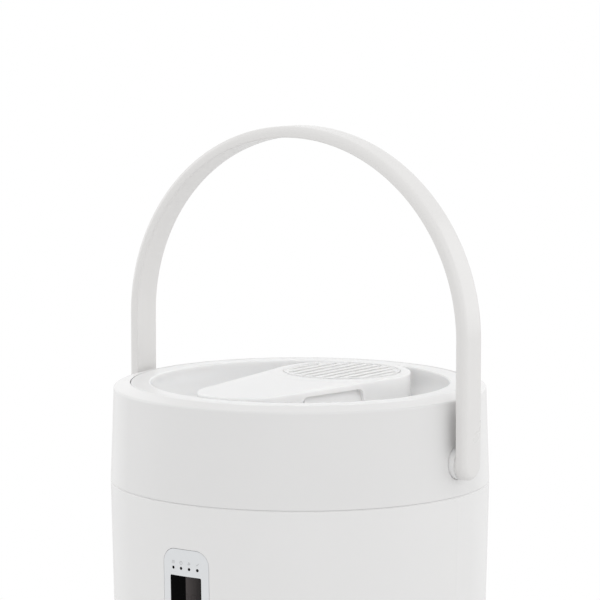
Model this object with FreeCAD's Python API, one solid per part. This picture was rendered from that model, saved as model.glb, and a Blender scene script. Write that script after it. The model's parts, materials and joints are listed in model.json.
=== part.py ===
"""Bucket-shaped water-bath cooker with a built-in circulator.

A round casing carries a removable pot on a ring heater. A motor under the pot turns a magnet
rotor, and the rotor drags a magnetic impeller through the pot's floor, so the bath circulates.
A collar closes the top of the casing and holds the bail handle. A lift-off lid with a recessed
dish, a flat grip bridge and a pull-out vent cap sits in the collar.

Frame: +Z up, origin on the surface it stands on, under the middle of the casing.
The control panel faces -Y, the mains inlet faces +Y, and the handle's pivots lie along X.
All sizes are in millimetres.
"""

import FreeCAD
import Part
import math
import os

from FreeCAD import Rotation, Vector

# ---------------------------------------------------------------- casing
foot_height = 6.0
base_tray_height = 11.4        # visible height of the base tray's wall
seam_gap = 0.6                 # open joint line between tray, casing and collar
seam_depth = 1.4               # how deep the joint lines run in from the outside
shell_height = 170.7
collar_height = 60.7
seam_radius = 118.0            # widest radius, at the line between casing and collar
shell_draft = math.tan(math.radians(1.24))
collar_draft = math.tan(math.radians(2.15))
casing_wall = 2.8
spigot_depth = 7.0             # how far tray and collar reach inside the casing
spigot_wall = 2.0
spigot_gap = 0.3
tray_floor = 2.5
tray_edge_radius = 7.0
edge_radius = 0.5              # small rounding on joint-line edges
bevel_width = 10.2             # sloping top of the collar, from its outer edge to the lid
bevel_drop = 2.5
bevel_edge_radius = 1.4
lip_width = 0.8
# ---------------------------------------------------------------- lid seat and chamber
lid_gap = 0.4
lid_seat_depth = 9.6           # from the rim down to the ledge that the lid rests on
ledge_width = 4.8
ledge_thickness = 2.4
throat_depth = 10.8            # from the ledge down to the liner's flange
sleeve_wall = 2.5
rest_gap = 0.3                 # left open between pieces that move apart
liner_wall = 1.0
liner_flange_reach = 8.2       # how far the flange runs outside the throat
pot_flange_gap = 0.8           # between the pot's flange and the throat
pot_flange_width = 5.8
pot_wall = 1.2
pot_corner_radius = 10.0
pot_edge_radius = 0.5
liner_gap = 2.3                # between pot and liner
motor_bay_height = 37.9        # from the tray's floor up to the liner's floor
heater_stand_height = 8.0
heater_thickness = 8.6
pot_heater_gap = 0.2
liner_screw_count = 4
liner_screw_inset = 3.6        # from the flange's outer edge to the screws
# ---------------------------------------------------------------- lid
lid_ring_width = 12.2          # flat ring round the dish
lid_wall = 2.4
lid_edge_radius = 0.9
dish_depth = 16.0
dish_corner_radius = 14.0
bridge_front_radius = 28.8
bridge_back_radius = 43.6
bridge_front_gap = 6.3         # from the dish's edge to the bridge
bridge_back_gap = 4.0
bridge_rise = 1.1              # the vent's plateau over the rim
bridge_front_drop = 1.0        # how much lower the bridge is at its front end
bridge_edge_radius = 1.2
plateau_slope_width = 7.0
plateau_edge_inset = 1.6
grip_depth = 4.4               # finger grips in the bridge's sides: a ceiling over a ramp
grip_height = 11.4
grip_corner_radius = 4.0
grip_lip = 1.0                 # from a grip's ceiling down to the top of its ramp
grip_length = 54.0
grip_centre_y = -13.9
grip_drop = 3.2                # from the rim down to a grip's ceiling
drain_slot_width = 1.2
drain_slot_height = 3.4
drain_slot_depth = 12.0
cap_border = 6.7               # from the bridge's round end to the cap's rim
cap_clearance = 0.3
seat_gap = 0.05                # left under the lid and the cap, which rest on their seats
cap_seat_depth = 3.2
cap_ledge_width = 3.0
cap_boss_depth = 7.0
cap_rim_width = 1.2
cap_rim_rise = 0.5
cap_plate_thickness = 2.4
cap_skirt_inset = 4.3          # from the cap's rim to its skirt
cap_skirt_wall = 1.6
cap_skirt_depth = 4.0
rib_pitch = 7.4
slot_width = 3.5
slot_end_gap = 0.3             # from a slot's end to the cap's rim
inner_lid_thickness = 1.2
inner_lid_depth = 6.6          # how far the inner lid hangs below its flange
inner_lid_cone_width = 5.0
inner_lid_gap = 2.0            # between the inner lid's cone and the pot's wall
inner_lid_flange_gap = 0.6
gasket_thickness = 1.5
gasket_width = 5.4
gasket_inset = 0.2
lid_screw_inset = 23.0         # from the dish's edge to the screws
lid_screw_angle = 25.0
lid_boss_radius = 4.0
lid_screw_end_gap = 0.5
steam_port_radius = 9.5
duct_wall = 1.6
duct_height = 15.5
duct_flange_width = 4.0
duct_flange_thickness = 1.5
# ---------------------------------------------------------------- handle
pivot_drop = 40.2              # from the rim down to the pivots
strap_width = 20.0
strap_thickness = 7.0
strap_outer_radius = 3.6       # roundings along the strap's outer and inner edges
strap_inner_radius = 1.2
strap_standoff = 4.2           # from the collar to the strap's inner face, at the pivots
handle_arch_rise = 125.0
handle_leg_rise = 33.6         # from the rim up to the start of the arch
axle_radius = 5.0
running_clearance = 0.05
bush_flange_radius = 10.0
bush_sleeve_radius = 7.5
bush_recess = 1.2              # how deep the bush's flange sits in the collar
pad_radius = 14.0
pad_depth = 8.5                # from the bush's seat to the pad's inner face
washer_radius = 9.0
washer_thickness = 1.2
pivot_screw_length = 9.0
pivot_thread_depth = 10.0
# ---------------------------------------------------------------- fasteners
screw_radius = 1.5
screw_head_radius = 2.9
screw_head_height = 2.0
screw_hole_gap = 0.1
screw_drive_width = 0.8
base_screw_count = 4
base_screw_angle = 30.0
base_screw_length = 14.0
post_radius = 4.0
post_inset = 10.6              # from the casing's inner wall to the posts' centres
post_rise = 12.0
rib_thickness = 2.4
# ---------------------------------------------------------------- feet and base
foot_radius = 10.0
foot_stem_radius = 3.5
foot_circle_inset = 28.0
foot_recess = 0.8
foot_gap = 0.2
foot_edge_radius = 1.0
foot_stem_gap = 0.05
foot_stem_rise = 1.5           # how far a stem stands over the tray's floor
base_slot_count = 5
base_slot_width = 3.0
base_slot_length = 26.0
base_slot_pitch = 8.0
base_slot_inset = 52.0         # from the tray's edge to the middle of each row of slots
# ---------------------------------------------------------------- control panel
panel_width = 33.6
panel_height = 104.0
panel_drop = 27.6              # from the collar's line down to the panel
panel_corner_radius = 9.0
panel_gap = 0.25
panel_flange = 4.0
panel_depth = 4.8              # from the casing's inner wall to the panel's flat back
window_width = 22.9
window_height = 38.0
window_drop = 16.2
window_thickness = 2.0
window_corner_radius = 1.0
window_ledge = 1.2
window_gap = 0.1
indicator_count = 4
indicator_pitch = 6.0
indicator_radius = 0.9
indicator_drop = 11.5
lamp_width = 1.6
lamp_height = 0.8
lamp_depth = 0.9
lamp_gap = 0.3
button_radius = 5.2
button_gap = 0.25
button_proud = 0.4
button_flange_radius = 6.6
button_flange_thickness = 1.2
button_travel = 0.5
button_back_gap = 0.2          # from the panel's flat back to the buttons' flanges
plunger_gap = 0.1
button_spacing_x = 14.8
button_spacing_z = 16.6
first_button_gap = 15.8        # from the window's lower edge to the first row of buttons
board_gap = 6.0                # from the panel's flat back to the control board
board_thickness = 1.6
board_margin = 3.0             # the board is this much shorter than the panel at each end
board_post_radius = 2.6
board_post_inset = 3.6
switch_side = 6.0
switch_height = 3.5
switch_plunger_radius = 1.7
display_depth = 5.3
display_margin = 0.6
# ---------------------------------------------------------------- mains inlet
inlet_rise = 17.0              # from the casing's lower edge to the inlet's middle
inlet_flange_width = 34.0
inlet_flange_height = 26.0
inlet_flange_thickness = 2.0
inlet_body_width = 27.0
inlet_body_height = 20.0
inlet_body_depth = 21.0
inlet_socket_width = 24.4
inlet_socket_height = 16.8
inlet_socket_depth = 16.5
inlet_socket_chamfer = 4.4
inlet_pad_margin = 3.0
inlet_recess_gap = 0.3
inlet_pin_length = 12.0
inlet_pin_width = 2.0
inlet_pin_height = 4.0
inlet_pin_spacing = 7.0
inlet_pin_offset = 2.0
inlet_tab_length = 7.0
# ---------------------------------------------------------------- heater
heater_inner_radius = 36.0
heater_edge_gap = 12.0         # from the liner's wall to the heater plate
element_inset = 22.5           # from the heater plate's outer edge to the element
element_radius = 3.5
element_gap = 0.05
element_open_angle = 30.0
element_leg_length = 16.0
heater_post_radius = 3.0
heater_post_edge = 9.0
heater_post_count = 3
probe_edge = 14.0              # from the heater plate's inner edge to the probe and cut-out
probe_radius = 6.0
probe_cap_height = 4.0
probe_stem_radius = 2.2
probe_stem_gap = 0.2
probe_stem_reach = 3.0         # how far the stem hangs below the liner's floor
probe_hole_gap = 0.4
probe_spring_radius = 4.0
probe_wire_radius = 0.45
probe_spring_gap = 0.1
probe_spring_turns = 4
cutout_radius = 7.5
cutout_height = 5.5
cutout_blade_thickness = 0.8
cutout_blade_width = 5.0
cutout_blade_length = 9.0
cutout_blade_spacing = 7.0
cutout_slot_gap = 1.0
# ---------------------------------------------------------------- circulator
rotor_radius = 28.0
rotor_thickness = 6.0
rotor_pot_gap = 1.4
magnet_radius = 6.0
magnet_height = 4.0
magnet_circle = 18.0
magnet_count = 4
magnet_gap = 0.05
shaft_radius = 2.0
hub_radius = 6.0
hub_length = 5.0
motor_radius = 17.5
motor_height = 24.0
motor_collar_radius = 5.0
motor_collar_height = 2.0
bracket_radius = 33.0
bracket_thickness = 2.0
bracket_screw_circle = 27.0
bracket_screw_count = 3
bracket_spacer_height = 3.0
motor_screw_circle = 11.0
impeller_radius = 27.0
impeller_floor_gap = 1.2
impeller_disc_thickness = 5.5
impeller_blade_height = 8.0
impeller_blade_count = 6
impeller_blade_thickness = 2.0
impeller_hub_radius = 6.0
pin_radius = 2.0
pin_base_radius = 5.0
pin_base_height = 0.9
pin_cap_height = 2.0
pin_cap_radius = 3.4
guard_gap = 5.0                # between the impeller's tips and the guard
guard_wall = 1.8
guard_headroom = 4.5
guard_slot_count = 12
guard_slot_width = 5.0
guard_hole_radius = 2.6
guard_hole_count = 10
guard_hole_place = 0.62        # the ring of holes, as a share of the guard's inner radius
# ---------------------------------------------------------------- power board
power_board_length = 84.0
power_board_width = 50.0
power_board_front = 27.0
power_post_height = 4.5
power_post_margin = 0.5
board_part_margin = 2.0
transformer_size = (26.0, 22.0, 16.0)
bobbin_inset = 4.0             # how far the winding ends short of the core at each end
bobbin_bulge = 3.0             # how far the winding stands out of the core's sides
bobbin_drop = 5.0
relay_inset = 8.0
relay_size = (15.0, 19.0, 16.0)
capacitor_radius = 8.0
capacitor_height = 20.0
capacitor_x = 4.0
capacitor_shift = 5.0          # forwards from the row of components
component_row_shift = 1.0
terminal_size = (40.0, 10.0, 12.0)
lead_radius = 1.3
lead_bend_radius = 1.8
cable_width = 12.0
cable_thickness = 1.0
cable_gap = 0.2
cable_overlap = 12.0           # how far the cable runs up the control board

# ---------------------------------------------------------------- heights and radii that follow
tray_bottom_z = foot_height
tray_top_z = tray_bottom_z + base_tray_height
shell_bottom_z = tray_top_z + seam_gap
shell_top_z = shell_bottom_z + shell_height
collar_bottom_z = shell_top_z + seam_gap
rim_z = collar_bottom_z + collar_height
tray_floor_z = tray_bottom_z + tray_floor

collar_edge_radius = seam_radius - (collar_height - bevel_drop) * collar_draft
opening_radius = collar_edge_radius - bevel_width
throat_radius = opening_radius - ledge_width
ledge_z = rim_z - lid_seat_depth
throat_bottom_z = ledge_z - throat_depth
lid_radius = opening_radius - lid_gap
dish_radius = lid_radius - lid_ring_width
dish_floor_z = rim_z - dish_depth

lid_screw_circle_radius = dish_radius - lid_screw_inset

pot_flange_radius = throat_radius - pot_flange_gap
pot_outer_radius = pot_flange_radius - pot_flange_width
pot_inner_radius = pot_outer_radius - pot_wall
pot_flange_top_z = throat_bottom_z + pot_wall
liner_inner_radius = pot_outer_radius + liner_gap
liner_outer_radius = liner_inner_radius + liner_wall
liner_flange_radius = throat_radius + liner_flange_reach
liner_floor_z = tray_floor_z + motor_bay_height
liner_floor_top_z = liner_floor_z + liner_wall
heater_bottom_z = liner_floor_top_z + heater_stand_height
heater_top_z = heater_bottom_z + heater_thickness
heater_outer_radius = liner_inner_radius - heater_edge_gap
element_ring_radius = heater_outer_radius - element_inset
heater_post_circle = heater_inner_radius + heater_post_edge
probe_circle = heater_inner_radius + probe_edge
cutout_circle = probe_circle
pot_bottom_z = heater_top_z + pot_heater_gap
pot_floor_z = pot_bottom_z + pot_wall

bridge_top_z = rim_z + bridge_rise
bridge_front_y = -(dish_radius - bridge_front_gap - bridge_front_radius)
bridge_back_y = dish_radius - bridge_back_gap - bridge_back_radius
bridge_length = bridge_back_y - bridge_front_y
cap_rim_radius = bridge_back_radius - cap_border
cap_skirt_radius = cap_rim_radius - cap_skirt_inset
bridge_taper = math.asin((bridge_back_radius - bridge_front_radius) / bridge_length)

pivot_z = rim_z - pivot_drop


def shell_radius(z):
    """Outer radius of the casing and the tray at height z."""
    return seam_radius - (shell_top_z - z) * shell_draft


def collar_radius(z):
    """Outer radius of the collar's wall at height z."""
    return seam_radius - (z - collar_bottom_z) * collar_draft


strap_inner_x = collar_radius(pivot_z) + strap_standoff
handle_half_span = strap_inner_x + strap_thickness
bush_seat_x = collar_radius(pivot_z) - bush_recess
pad_inner_x = bush_seat_x - pad_depth
axle_end_x = pad_inner_x - rest_gap

panel_top_z = collar_bottom_z - panel_drop
panel_z = panel_top_z - panel_height / 2
board_width = panel_width
board_height = panel_height - 2 * board_margin
panel_back_y = -(shell_radius(panel_z) - casing_wall - panel_depth)
board_front_y = panel_back_y + board_gap
window_z = panel_top_z - window_drop - window_height / 2
indicator_z = panel_top_z - indicator_drop
first_button_z = window_z - window_height / 2 - first_button_gap
inlet_z = shell_bottom_z + inlet_rise
inlet_face_y = shell_radius(inlet_z) - inlet_flange_thickness - inlet_recess_gap

rotor_top_z = pot_bottom_z - rotor_pot_gap
rotor_bottom_z = rotor_top_z - rotor_thickness
bracket_top_z = liner_floor_z - bracket_spacer_height
motor_top_z = bracket_top_z - bracket_thickness
motor_bottom_z = motor_top_z - motor_height
impeller_bottom_z = pot_floor_z + impeller_floor_gap
impeller_disc_top_z = impeller_bottom_z + impeller_disc_thickness
impeller_top_z = impeller_disc_top_z + impeller_blade_height
pin_top_z = impeller_top_z + rest_gap
guard_inner_radius = impeller_radius + guard_gap
guard_top_z = pin_top_z + pin_cap_height + guard_headroom
power_board_z = tray_floor_z + power_post_height

UP = Vector(0, 0, 1)
TOLERANCE = 0.01               # for picking edges by their place
ALONG_X = Vector(1, 0, 0)
ALONG_Y = Vector(0, 1, 0)


# ================================================================ tools for making solids
def cylinder(radius, bottom, top, x=0.0, y=0.0):
    """Upright cylinder between two heights."""
    return Part.makeCylinder(radius, top - bottom, Vector(x, y, bottom), UP)


def cylinder_x(radius, start, end, y=0.0, z=0.0):
    """Cylinder along X between two places."""
    return Part.makeCylinder(radius, end - start, Vector(start, y, z), ALONG_X)


def cylinder_y(radius, start, end, x=0.0, z=0.0):
    """Cylinder along Y between two places."""
    return Part.makeCylinder(radius, end - start, Vector(x, start, z), ALONG_Y)


def block(x_span, y_span, z_span):
    """Box between two places on each axis."""
    size = [span[1] - span[0] for span in (x_span, y_span, z_span)]
    return Part.makeBox(*size, Vector(x_span[0], y_span[0], z_span[0]))


def centred(middle, size):
    """The two ends of a span of this size about its middle."""
    return (middle - size / 2, middle + size / 2)


def turned(points):
    """Solid of revolution about Z of a closed outline of (radius, height) points.

    A point of the form ("arc", (r, z), (r, z)) is an arc through the first to the second.
    """
    edges = []
    first = Vector(points[0][0], 0, points[0][1])
    here = first
    for point in points[1:] + [points[0]]:
        if point[0] == "arc":
            middle = Vector(point[1][0], 0, point[1][1])
            end = Vector(point[2][0], 0, point[2][1])
            edges.append(Part.Arc(here, middle, end).toShape())
        else:
            end = Vector(point[0], 0, point[1])
            edges.append(Part.LineSegment(here, end).toShape())
        here = end
    face = Part.Face(Part.Wire(edges))
    return face.revolve(Vector(0, 0, 0), UP, 360)


def corner_arc(centre_r, centre_z, radius, middle_angle, end_angle):
    """Arc entry for turned(), on a circle, through one angle in degrees to another."""
    through = math.radians(middle_angle)
    to = math.radians(end_angle)
    return ("arc",
            (centre_r + radius * math.cos(through), centre_z + radius * math.sin(through)),
            (centre_r + radius * math.cos(to), centre_z + radius * math.sin(to)))


def ring(inner, outer, bottom, top):
    """Flat ring or tube about Z."""
    return cylinder(outer, bottom, top).cut(cylinder(inner, bottom, top))


def round_circles(solid, radius, circles):
    """Rounds the level circular edges about Z that have one of these (radius, height) pairs."""
    picked = []
    for edge in solid.Edges:
        if not isinstance(edge.Curve, Part.Circle):
            continue
        centre = edge.Curve.Center
        if math.hypot(centre.x, centre.y) > TOLERANCE:
            continue
        for wanted_radius, wanted_z in circles:
            same_size = abs(edge.Curve.Radius - wanted_radius) < TOLERANCE
            if same_size and abs(centre.z - wanted_z) < TOLERANCE:
                picked.append(edge)
    return solid.makeFillet(radius, picked)


def rounded_prism_y(width, height, corner, y_span, x=0.0, z=0.0):
    """Bar along Y with a rounded rectangle for its section."""
    bar = block(centred(x, width), y_span, centred(z, height))
    along = [e for e in bar.Edges if abs(abs(e.tangentAt(e.FirstParameter).y) - 1) < TOLERANCE]
    return bar.makeFillet(corner, along)


def casing_envelope(inset=0.0):
    """Solid bounded by the casing's outer cone, moved in by inset."""
    bottom = shell_radius(0) - inset
    top = shell_radius(shell_top_z) - inset
    return Part.makeCone(bottom, top, shell_top_z)


def spread(solid, count, start_angle=0.0):
    """Copies of a solid at even angles about Z."""
    copies = []
    for index in range(count):
        copy = solid.copy()
        copy.rotate(Vector(0, 0, 0), UP, start_angle + 360.0 * index / count)
        copies.append(copy)
    return copies


def both_sides(solid):
    """A solid and its mirror image across the plane X = 0."""
    return [solid, solid.mirror(Vector(0, 0, 0), ALONG_X)]


def joined(solids):
    """One solid out of several that meet."""
    return solids[0].multiFuse(solids[1:]).removeSplitter()


def screw(x, y, seat_z, length, upwards=True):
    """Pan-head screw with its head's face on seat_z and its shank going up or down."""
    sign = 1 if upwards else -1
    way = UP * sign
    seat = Vector(x, y, seat_z)
    shank = Part.makeCylinder(screw_radius, length, seat, way)
    head = Part.makeCylinder(screw_head_radius, screw_head_height, seat, way * -1)
    drive = Part.makeBox(screw_drive_width, screw_head_radius, screw_head_height)
    drive.translate(Vector(x - screw_drive_width / 2, y - screw_head_radius / 2, 0))
    outer_face = seat_z - sign * screw_head_height
    drive_depth = screw_head_height / 2
    drive.translate(Vector(0, 0, outer_face - (0 if upwards else screw_head_height)))
    drive.translate(Vector(0, 0, sign * (drive_depth - screw_head_height)))
    return shank.fuse(head).cut(drive)


def tube_along(points, radius, bend):
    """Round lead along straight runs that are joined by tangent arcs."""
    edges = []
    here = Vector(*points[0])
    for before, corner, after in zip(points, points[1:], points[2:]):
        corner = Vector(*corner)
        back = (Vector(*before) - corner).normalize()
        on = (Vector(*after) - corner).normalize()
        half_angle = back.getAngle(on) / 2
        reach = bend / math.tan(half_angle)
        start = corner + back * reach
        end = corner + on * reach
        centre = corner + (back + on).normalize() * (bend / math.sin(half_angle))
        middle = centre + (corner - centre).normalize() * bend
        edges.append(Part.LineSegment(here, start).toShape())
        edges.append(Part.Arc(start, middle, end).toShape())
        here = end
    edges.append(Part.LineSegment(here, Vector(*points[-1])).toShape())
    path = Part.Wire(edges)
    direction = (Vector(*points[1]) - Vector(*points[0])).normalize()
    section = Part.Wire(Part.makeCircle(radius, Vector(*points[0]), direction))
    return path.makePipeShell([section], True, False)


# ================================================================ casing
def base_screw_places():
    """Centres of the screw posts that join the tray to the casing."""
    radius = shell_radius(shell_bottom_z) - casing_wall - post_inset
    for side in (1, -1):
        for end in (1, -1):
            angle = math.radians(base_screw_angle)
            yield side * radius * math.cos(angle), end * radius * math.sin(angle)


def foot_places():
    """Centres of the feet."""
    reach = (shell_radius(tray_bottom_z) - foot_circle_inset) / math.sqrt(2)
    for x in (-reach, reach):
        for y in (-reach, reach):
            yield x, y


def base_tray():
    """Shallow tray that closes the casing from below."""
    bottom = shell_radius(tray_bottom_z)
    top = shell_radius(tray_top_z)
    spigot = shell_radius(tray_top_z) - casing_wall - spigot_gap
    spigot_top = shell_bottom_z + spigot_depth
    edge = tray_edge_radius
    tray = turned([
        (0, tray_bottom_z),
        (bottom - edge, tray_bottom_z),
        corner_arc(bottom - edge, tray_bottom_z + edge, edge, -45, 0),
        (top, tray_top_z),
        (top - seam_depth, tray_top_z),
        (top - seam_depth, shell_bottom_z),
        (spigot, shell_bottom_z),
        (spigot, spigot_top),
        (spigot - spigot_wall, spigot_top),
        (spigot - spigot_wall, tray_bottom_z + edge),
        (bottom - edge - tray_floor / 2, tray_floor_z),
        (0, tray_floor_z),
    ])
    cuts = []
    for x, y in base_screw_places():
        cuts.append(cylinder(screw_radius + screw_hole_gap, 0, tray_top_z, x, y))
        head_room = screw_head_radius + screw_hole_gap
        head_top = tray_bottom_z + screw_head_height / 2
        cuts.append(cylinder(head_room, 0, head_top, x, y))
    for x, y in foot_places():
        cuts.append(cylinder(foot_stem_radius, 0, tray_top_z, x, y))
        cuts.append(cylinder(foot_radius, 0, tray_bottom_z + foot_recess, x, y))
    notch = inlet_flange_width + 2 * inlet_pad_margin + 2 * spigot_gap
    cuts.append(block(centred(0, notch), (0, seam_radius), (tray_top_z, seam_radius)))
    slots = (base_slot_count - 1) / 2
    for side in (-1, 1):
        for index in range(base_slot_count):
            middle = side * (shell_radius(tray_bottom_z) - base_slot_inset)
            y = (index - slots) * base_slot_pitch
            cuts.append(block(centred(middle, base_slot_length), centred(y, base_slot_width),
                              (0, tray_top_z)))
    tray = tray.cut(Part.makeCompound(cuts))
    posts = []
    for x, y in power_board_corners():
        posts.append(cylinder(post_radius, tray_floor_z - tray_floor / 2, power_board_z, x, y))
    return joined([tray] + posts).cut(Part.makeCompound([
        cylinder(screw_radius, tray_floor_z, power_board_z, x, y)
        for x, y in power_board_corners()]))


def body_shell():
    """Outer casing, open at both ends, with the panel's and the inlet's cut-outs."""
    bottom = shell_radius(shell_bottom_z)
    shell = turned([
        (bottom, shell_bottom_z),
        (seam_radius, shell_top_z),
        (seam_radius - casing_wall, shell_top_z),
        (bottom - casing_wall, shell_bottom_z),
    ])
    shell = round_circles(shell, edge_radius, [(seam_radius, shell_top_z), (bottom, shell_bottom_z)])
    extra = []
    rib_start = shell_bottom_z + spigot_depth + rest_gap
    rib_top = rib_start + post_rise
    for x, y in base_screw_places():
        post = cylinder(post_radius, tray_floor_z, rib_top, x, y)
        bore = cylinder(screw_radius, tray_floor_z, tray_floor_z + base_screw_length, x, y)
        distance = math.hypot(x, y)
        rib = block((distance, bottom - casing_wall / 2), centred(0, rib_thickness), (rib_start, rib_top))
        rib.rotate(Vector(0, 0, 0), UP, math.degrees(math.atan2(y, x)))
        extra.append(post.fuse(rib).cut(bore))
    pad_width = inlet_flange_width + 2 * inlet_pad_margin
    pad_height = inlet_flange_height + 2 * inlet_pad_margin
    pad = block(centred(0, pad_width), (inlet_face_y - casing_wall, bottom),
                centred(inlet_z, pad_height))
    extra.append(pad.common(casing_envelope(casing_wall / 2)))
    shell = joined([shell] + extra)
    recess = block(centred(0, inlet_flange_width + inlet_recess_gap), (inlet_face_y, seam_radius),
                   centred(inlet_z, inlet_flange_height + inlet_recess_gap))
    hole = block(centred(0, inlet_body_width + inlet_recess_gap), (0, seam_radius),
                 centred(inlet_z, inlet_body_height + inlet_recess_gap))
    opening = rounded_prism_y(panel_width + 2 * panel_gap, panel_height + 2 * panel_gap,
                              panel_corner_radius + panel_gap, (-seam_radius, 0), z=panel_z)
    return shell.cut(Part.makeCompound([recess, opening])).cut(hole)


def upper_collar():
    """Ring on top of the casing with the lid's seat, the throat and the handle's pads."""
    spigot = shell_radius(shell_top_z) - casing_wall - spigot_gap
    spigot_bottom = shell_top_z - spigot_depth
    top_inner = collar_edge_radius - casing_wall
    outline = [
        (seam_radius, collar_bottom_z),
        (collar_edge_radius, rim_z - bevel_drop),
        (opening_radius + lip_width, rim_z),
        (opening_radius, rim_z),
        (opening_radius, ledge_z),
        (throat_radius, ledge_z),
        (throat_radius, throat_bottom_z),
        (throat_radius + sleeve_wall, throat_bottom_z),
        (throat_radius + sleeve_wall, ledge_z - ledge_thickness),
        (opening_radius + sleeve_wall, ledge_z - ledge_thickness),
        (opening_radius + sleeve_wall, rim_z - casing_wall),
        (top_inner, rim_z - bevel_drop - casing_wall),
        (seam_radius - casing_wall - spigot_wall / 2, collar_bottom_z + spigot_wall),
        (spigot - spigot_wall, collar_bottom_z),
        (spigot - spigot_wall, spigot_bottom),
        (spigot, spigot_bottom),
        (spigot, shell_top_z),
        (seam_radius - seam_depth, shell_top_z),
        (seam_radius - seam_depth, collar_bottom_z),
    ]
    collar = turned(outline)
    collar = round_circles(collar, bevel_edge_radius, [(collar_edge_radius, rim_z - bevel_drop)])
    collar = round_circles(collar, edge_radius, [(seam_radius, collar_bottom_z)])
    extra = []
    for x, y in liner_screw_places():
        extra.append(cylinder(post_radius, throat_bottom_z, ledge_z - ledge_thickness / 2, x, y))
    outside = seam_radius + bush_recess
    for side in both_sides(cylinder_x(pad_radius, pad_inner_x, outside, z=pivot_z)):
        cone_top = seam_radius - collar_height * collar_draft - casing_wall / 2
        cone = Part.makeCone(seam_radius - casing_wall / 2, cone_top, collar_height,
                             Vector(0, 0, collar_bottom_z))
        extra.append(side.common(cone))
    collar = joined([collar] + extra)
    cuts = [cylinder(screw_radius, throat_bottom_z, ledge_z - ledge_thickness, x, y)
            for x, y in liner_screw_places()]
    cuts += both_sides(cylinder_x(bush_flange_radius + panel_gap, bush_seat_x, outside, z=pivot_z))
    cuts += both_sides(cylinder_x(bush_sleeve_radius, 0, outside, z=pivot_z))
    collar = collar.cut(Part.makeCompound(cuts[:-2]))
    return collar.cut(Part.makeCompound(cuts[-2:]))


# ================================================================ chamber, pot and heater
def liner_screw_places():
    """Centres of the screws that hang the liner from the collar."""
    radius = liner_flange_radius - liner_screw_inset
    for index in range(liner_screw_count):
        angle = math.radians(45 + 360 * index / liner_screw_count)
        yield radius * math.cos(angle), radius * math.sin(angle)


def inner_liner():
    """Metal chamber that holds the pot and carries the heater and the motor."""
    flange_bottom = throat_bottom_z - liner_wall
    liner = turned([
        (motor_collar_radius + 2 * rest_gap, liner_floor_z),
        (liner_outer_radius, liner_floor_z),
        (liner_outer_radius, flange_bottom),
        (liner_flange_radius, flange_bottom),
        (liner_flange_radius, throat_bottom_z),
        (liner_inner_radius, throat_bottom_z),
        (liner_inner_radius, liner_floor_top_z),
        (motor_collar_radius + 2 * rest_gap, liner_floor_top_z),
    ])
    holes = []
    hole_radius = screw_radius + screw_hole_gap
    for x, y in liner_screw_places():
        holes.append(cylinder(hole_radius, flange_bottom, throat_bottom_z, x, y))
    for hole in bracket_screw_places():
        holes.append(cylinder(hole_radius, liner_floor_z, liner_floor_top_z, *hole))
    for leg in element_leg_places():
        holes.append(cylinder(element_radius + 1, liner_floor_z, liner_floor_top_z, *leg))
    holes.append(cylinder(probe_stem_radius + probe_stem_gap, liner_floor_z, liner_floor_top_z,
                          -probe_circle, 0))
    slot_length = cutout_blade_spacing + cutout_blade_thickness + 2 * cutout_slot_gap
    slot_width_y = cutout_blade_width + 2 * cutout_slot_gap
    holes.append(block(centred(0, slot_length), centred(-cutout_circle, slot_width_y),
                       (liner_floor_z, liner_floor_top_z)))
    return liner.cut(Part.makeCompound(holes))


def liner_screws():
    """Screws through the liner's flange."""
    seat = throat_bottom_z - liner_wall
    return [screw(x, y, seat, throat_depth / 2) for x, y in liner_screw_places()]


def inner_pot():
    """Removable drawn pot with a flat flange."""
    corner = pot_corner_radius
    outer = pot_outer_radius
    inner = pot_inner_radius
    pot = turned([
        (0, pot_bottom_z),
        (outer - corner, pot_bottom_z),
        corner_arc(outer - corner, pot_bottom_z + corner, corner, -45, 0),
        (outer, throat_bottom_z),
        (pot_flange_radius, throat_bottom_z),
        (pot_flange_radius, pot_flange_top_z),
        (inner, pot_flange_top_z),
        (inner, pot_bottom_z + corner),
        corner_arc(outer - corner, pot_bottom_z + corner, corner - pot_wall, -45, -90),
        (0, pot_floor_z),
    ])
    return round_circles(pot, pot_edge_radius, [(inner, pot_flange_top_z)])


def element_leg_places():
    """Centres of the heating element's two cold legs."""
    half = math.radians(element_open_angle / 2)
    for sign in (-1, 1):
        yield sign * element_ring_radius * math.sin(half), element_ring_radius * math.cos(half)


def heater_plate():
    """Cast ring plate with a groove for the element and a hole for the probe."""
    plate = ring(heater_inner_radius, heater_outer_radius, heater_bottom_z, heater_top_z)
    groove = Part.makeTorus(element_ring_radius, element_radius + element_gap,
                            Vector(0, 0, heater_bottom_z), UP)
    probe_hole = cylinder(probe_radius + probe_hole_gap, heater_bottom_z, heater_top_z, -probe_circle, 0)
    return plate.cut(groove).cut(probe_hole)


def heater_element():
    """Tubular element: most of a ring, with two legs that go down."""
    start = 90 + element_open_angle / 2
    arc = Part.makeTorus(element_ring_radius, element_radius, Vector(0, 0, heater_bottom_z), UP,
                         0, 360, 360 - element_open_angle)
    arc.rotate(Vector(0, 0, 0), UP, start)
    pieces = [arc]
    for x, y in element_leg_places():
        centre = Vector(x, y, heater_bottom_z)
        pieces.append(Part.makeSphere(element_radius, centre))
        pieces.append(cylinder(element_radius, heater_bottom_z - element_leg_length,
                               heater_bottom_z, x, y))
    return joined(pieces)


def heater_posts():
    """Stand-offs between the liner's floor and the heater plate."""
    post = cylinder(heater_post_radius, liner_floor_top_z, heater_bottom_z, heater_post_circle, 0)
    return spread(post, heater_post_count, 90)


def temperature_probe():
    """Sprung sensor that looks through the heater plate at the pot's base."""
    top = heater_top_z - pot_heater_gap / 2
    cap = cylinder(probe_radius, top - probe_cap_height, top, -probe_circle, 0)
    stem = cylinder(probe_stem_radius, liner_floor_z - probe_stem_reach, top - probe_cap_height,
                    -probe_circle, 0)
    return cap.fuse(stem).removeSplitter()


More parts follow.
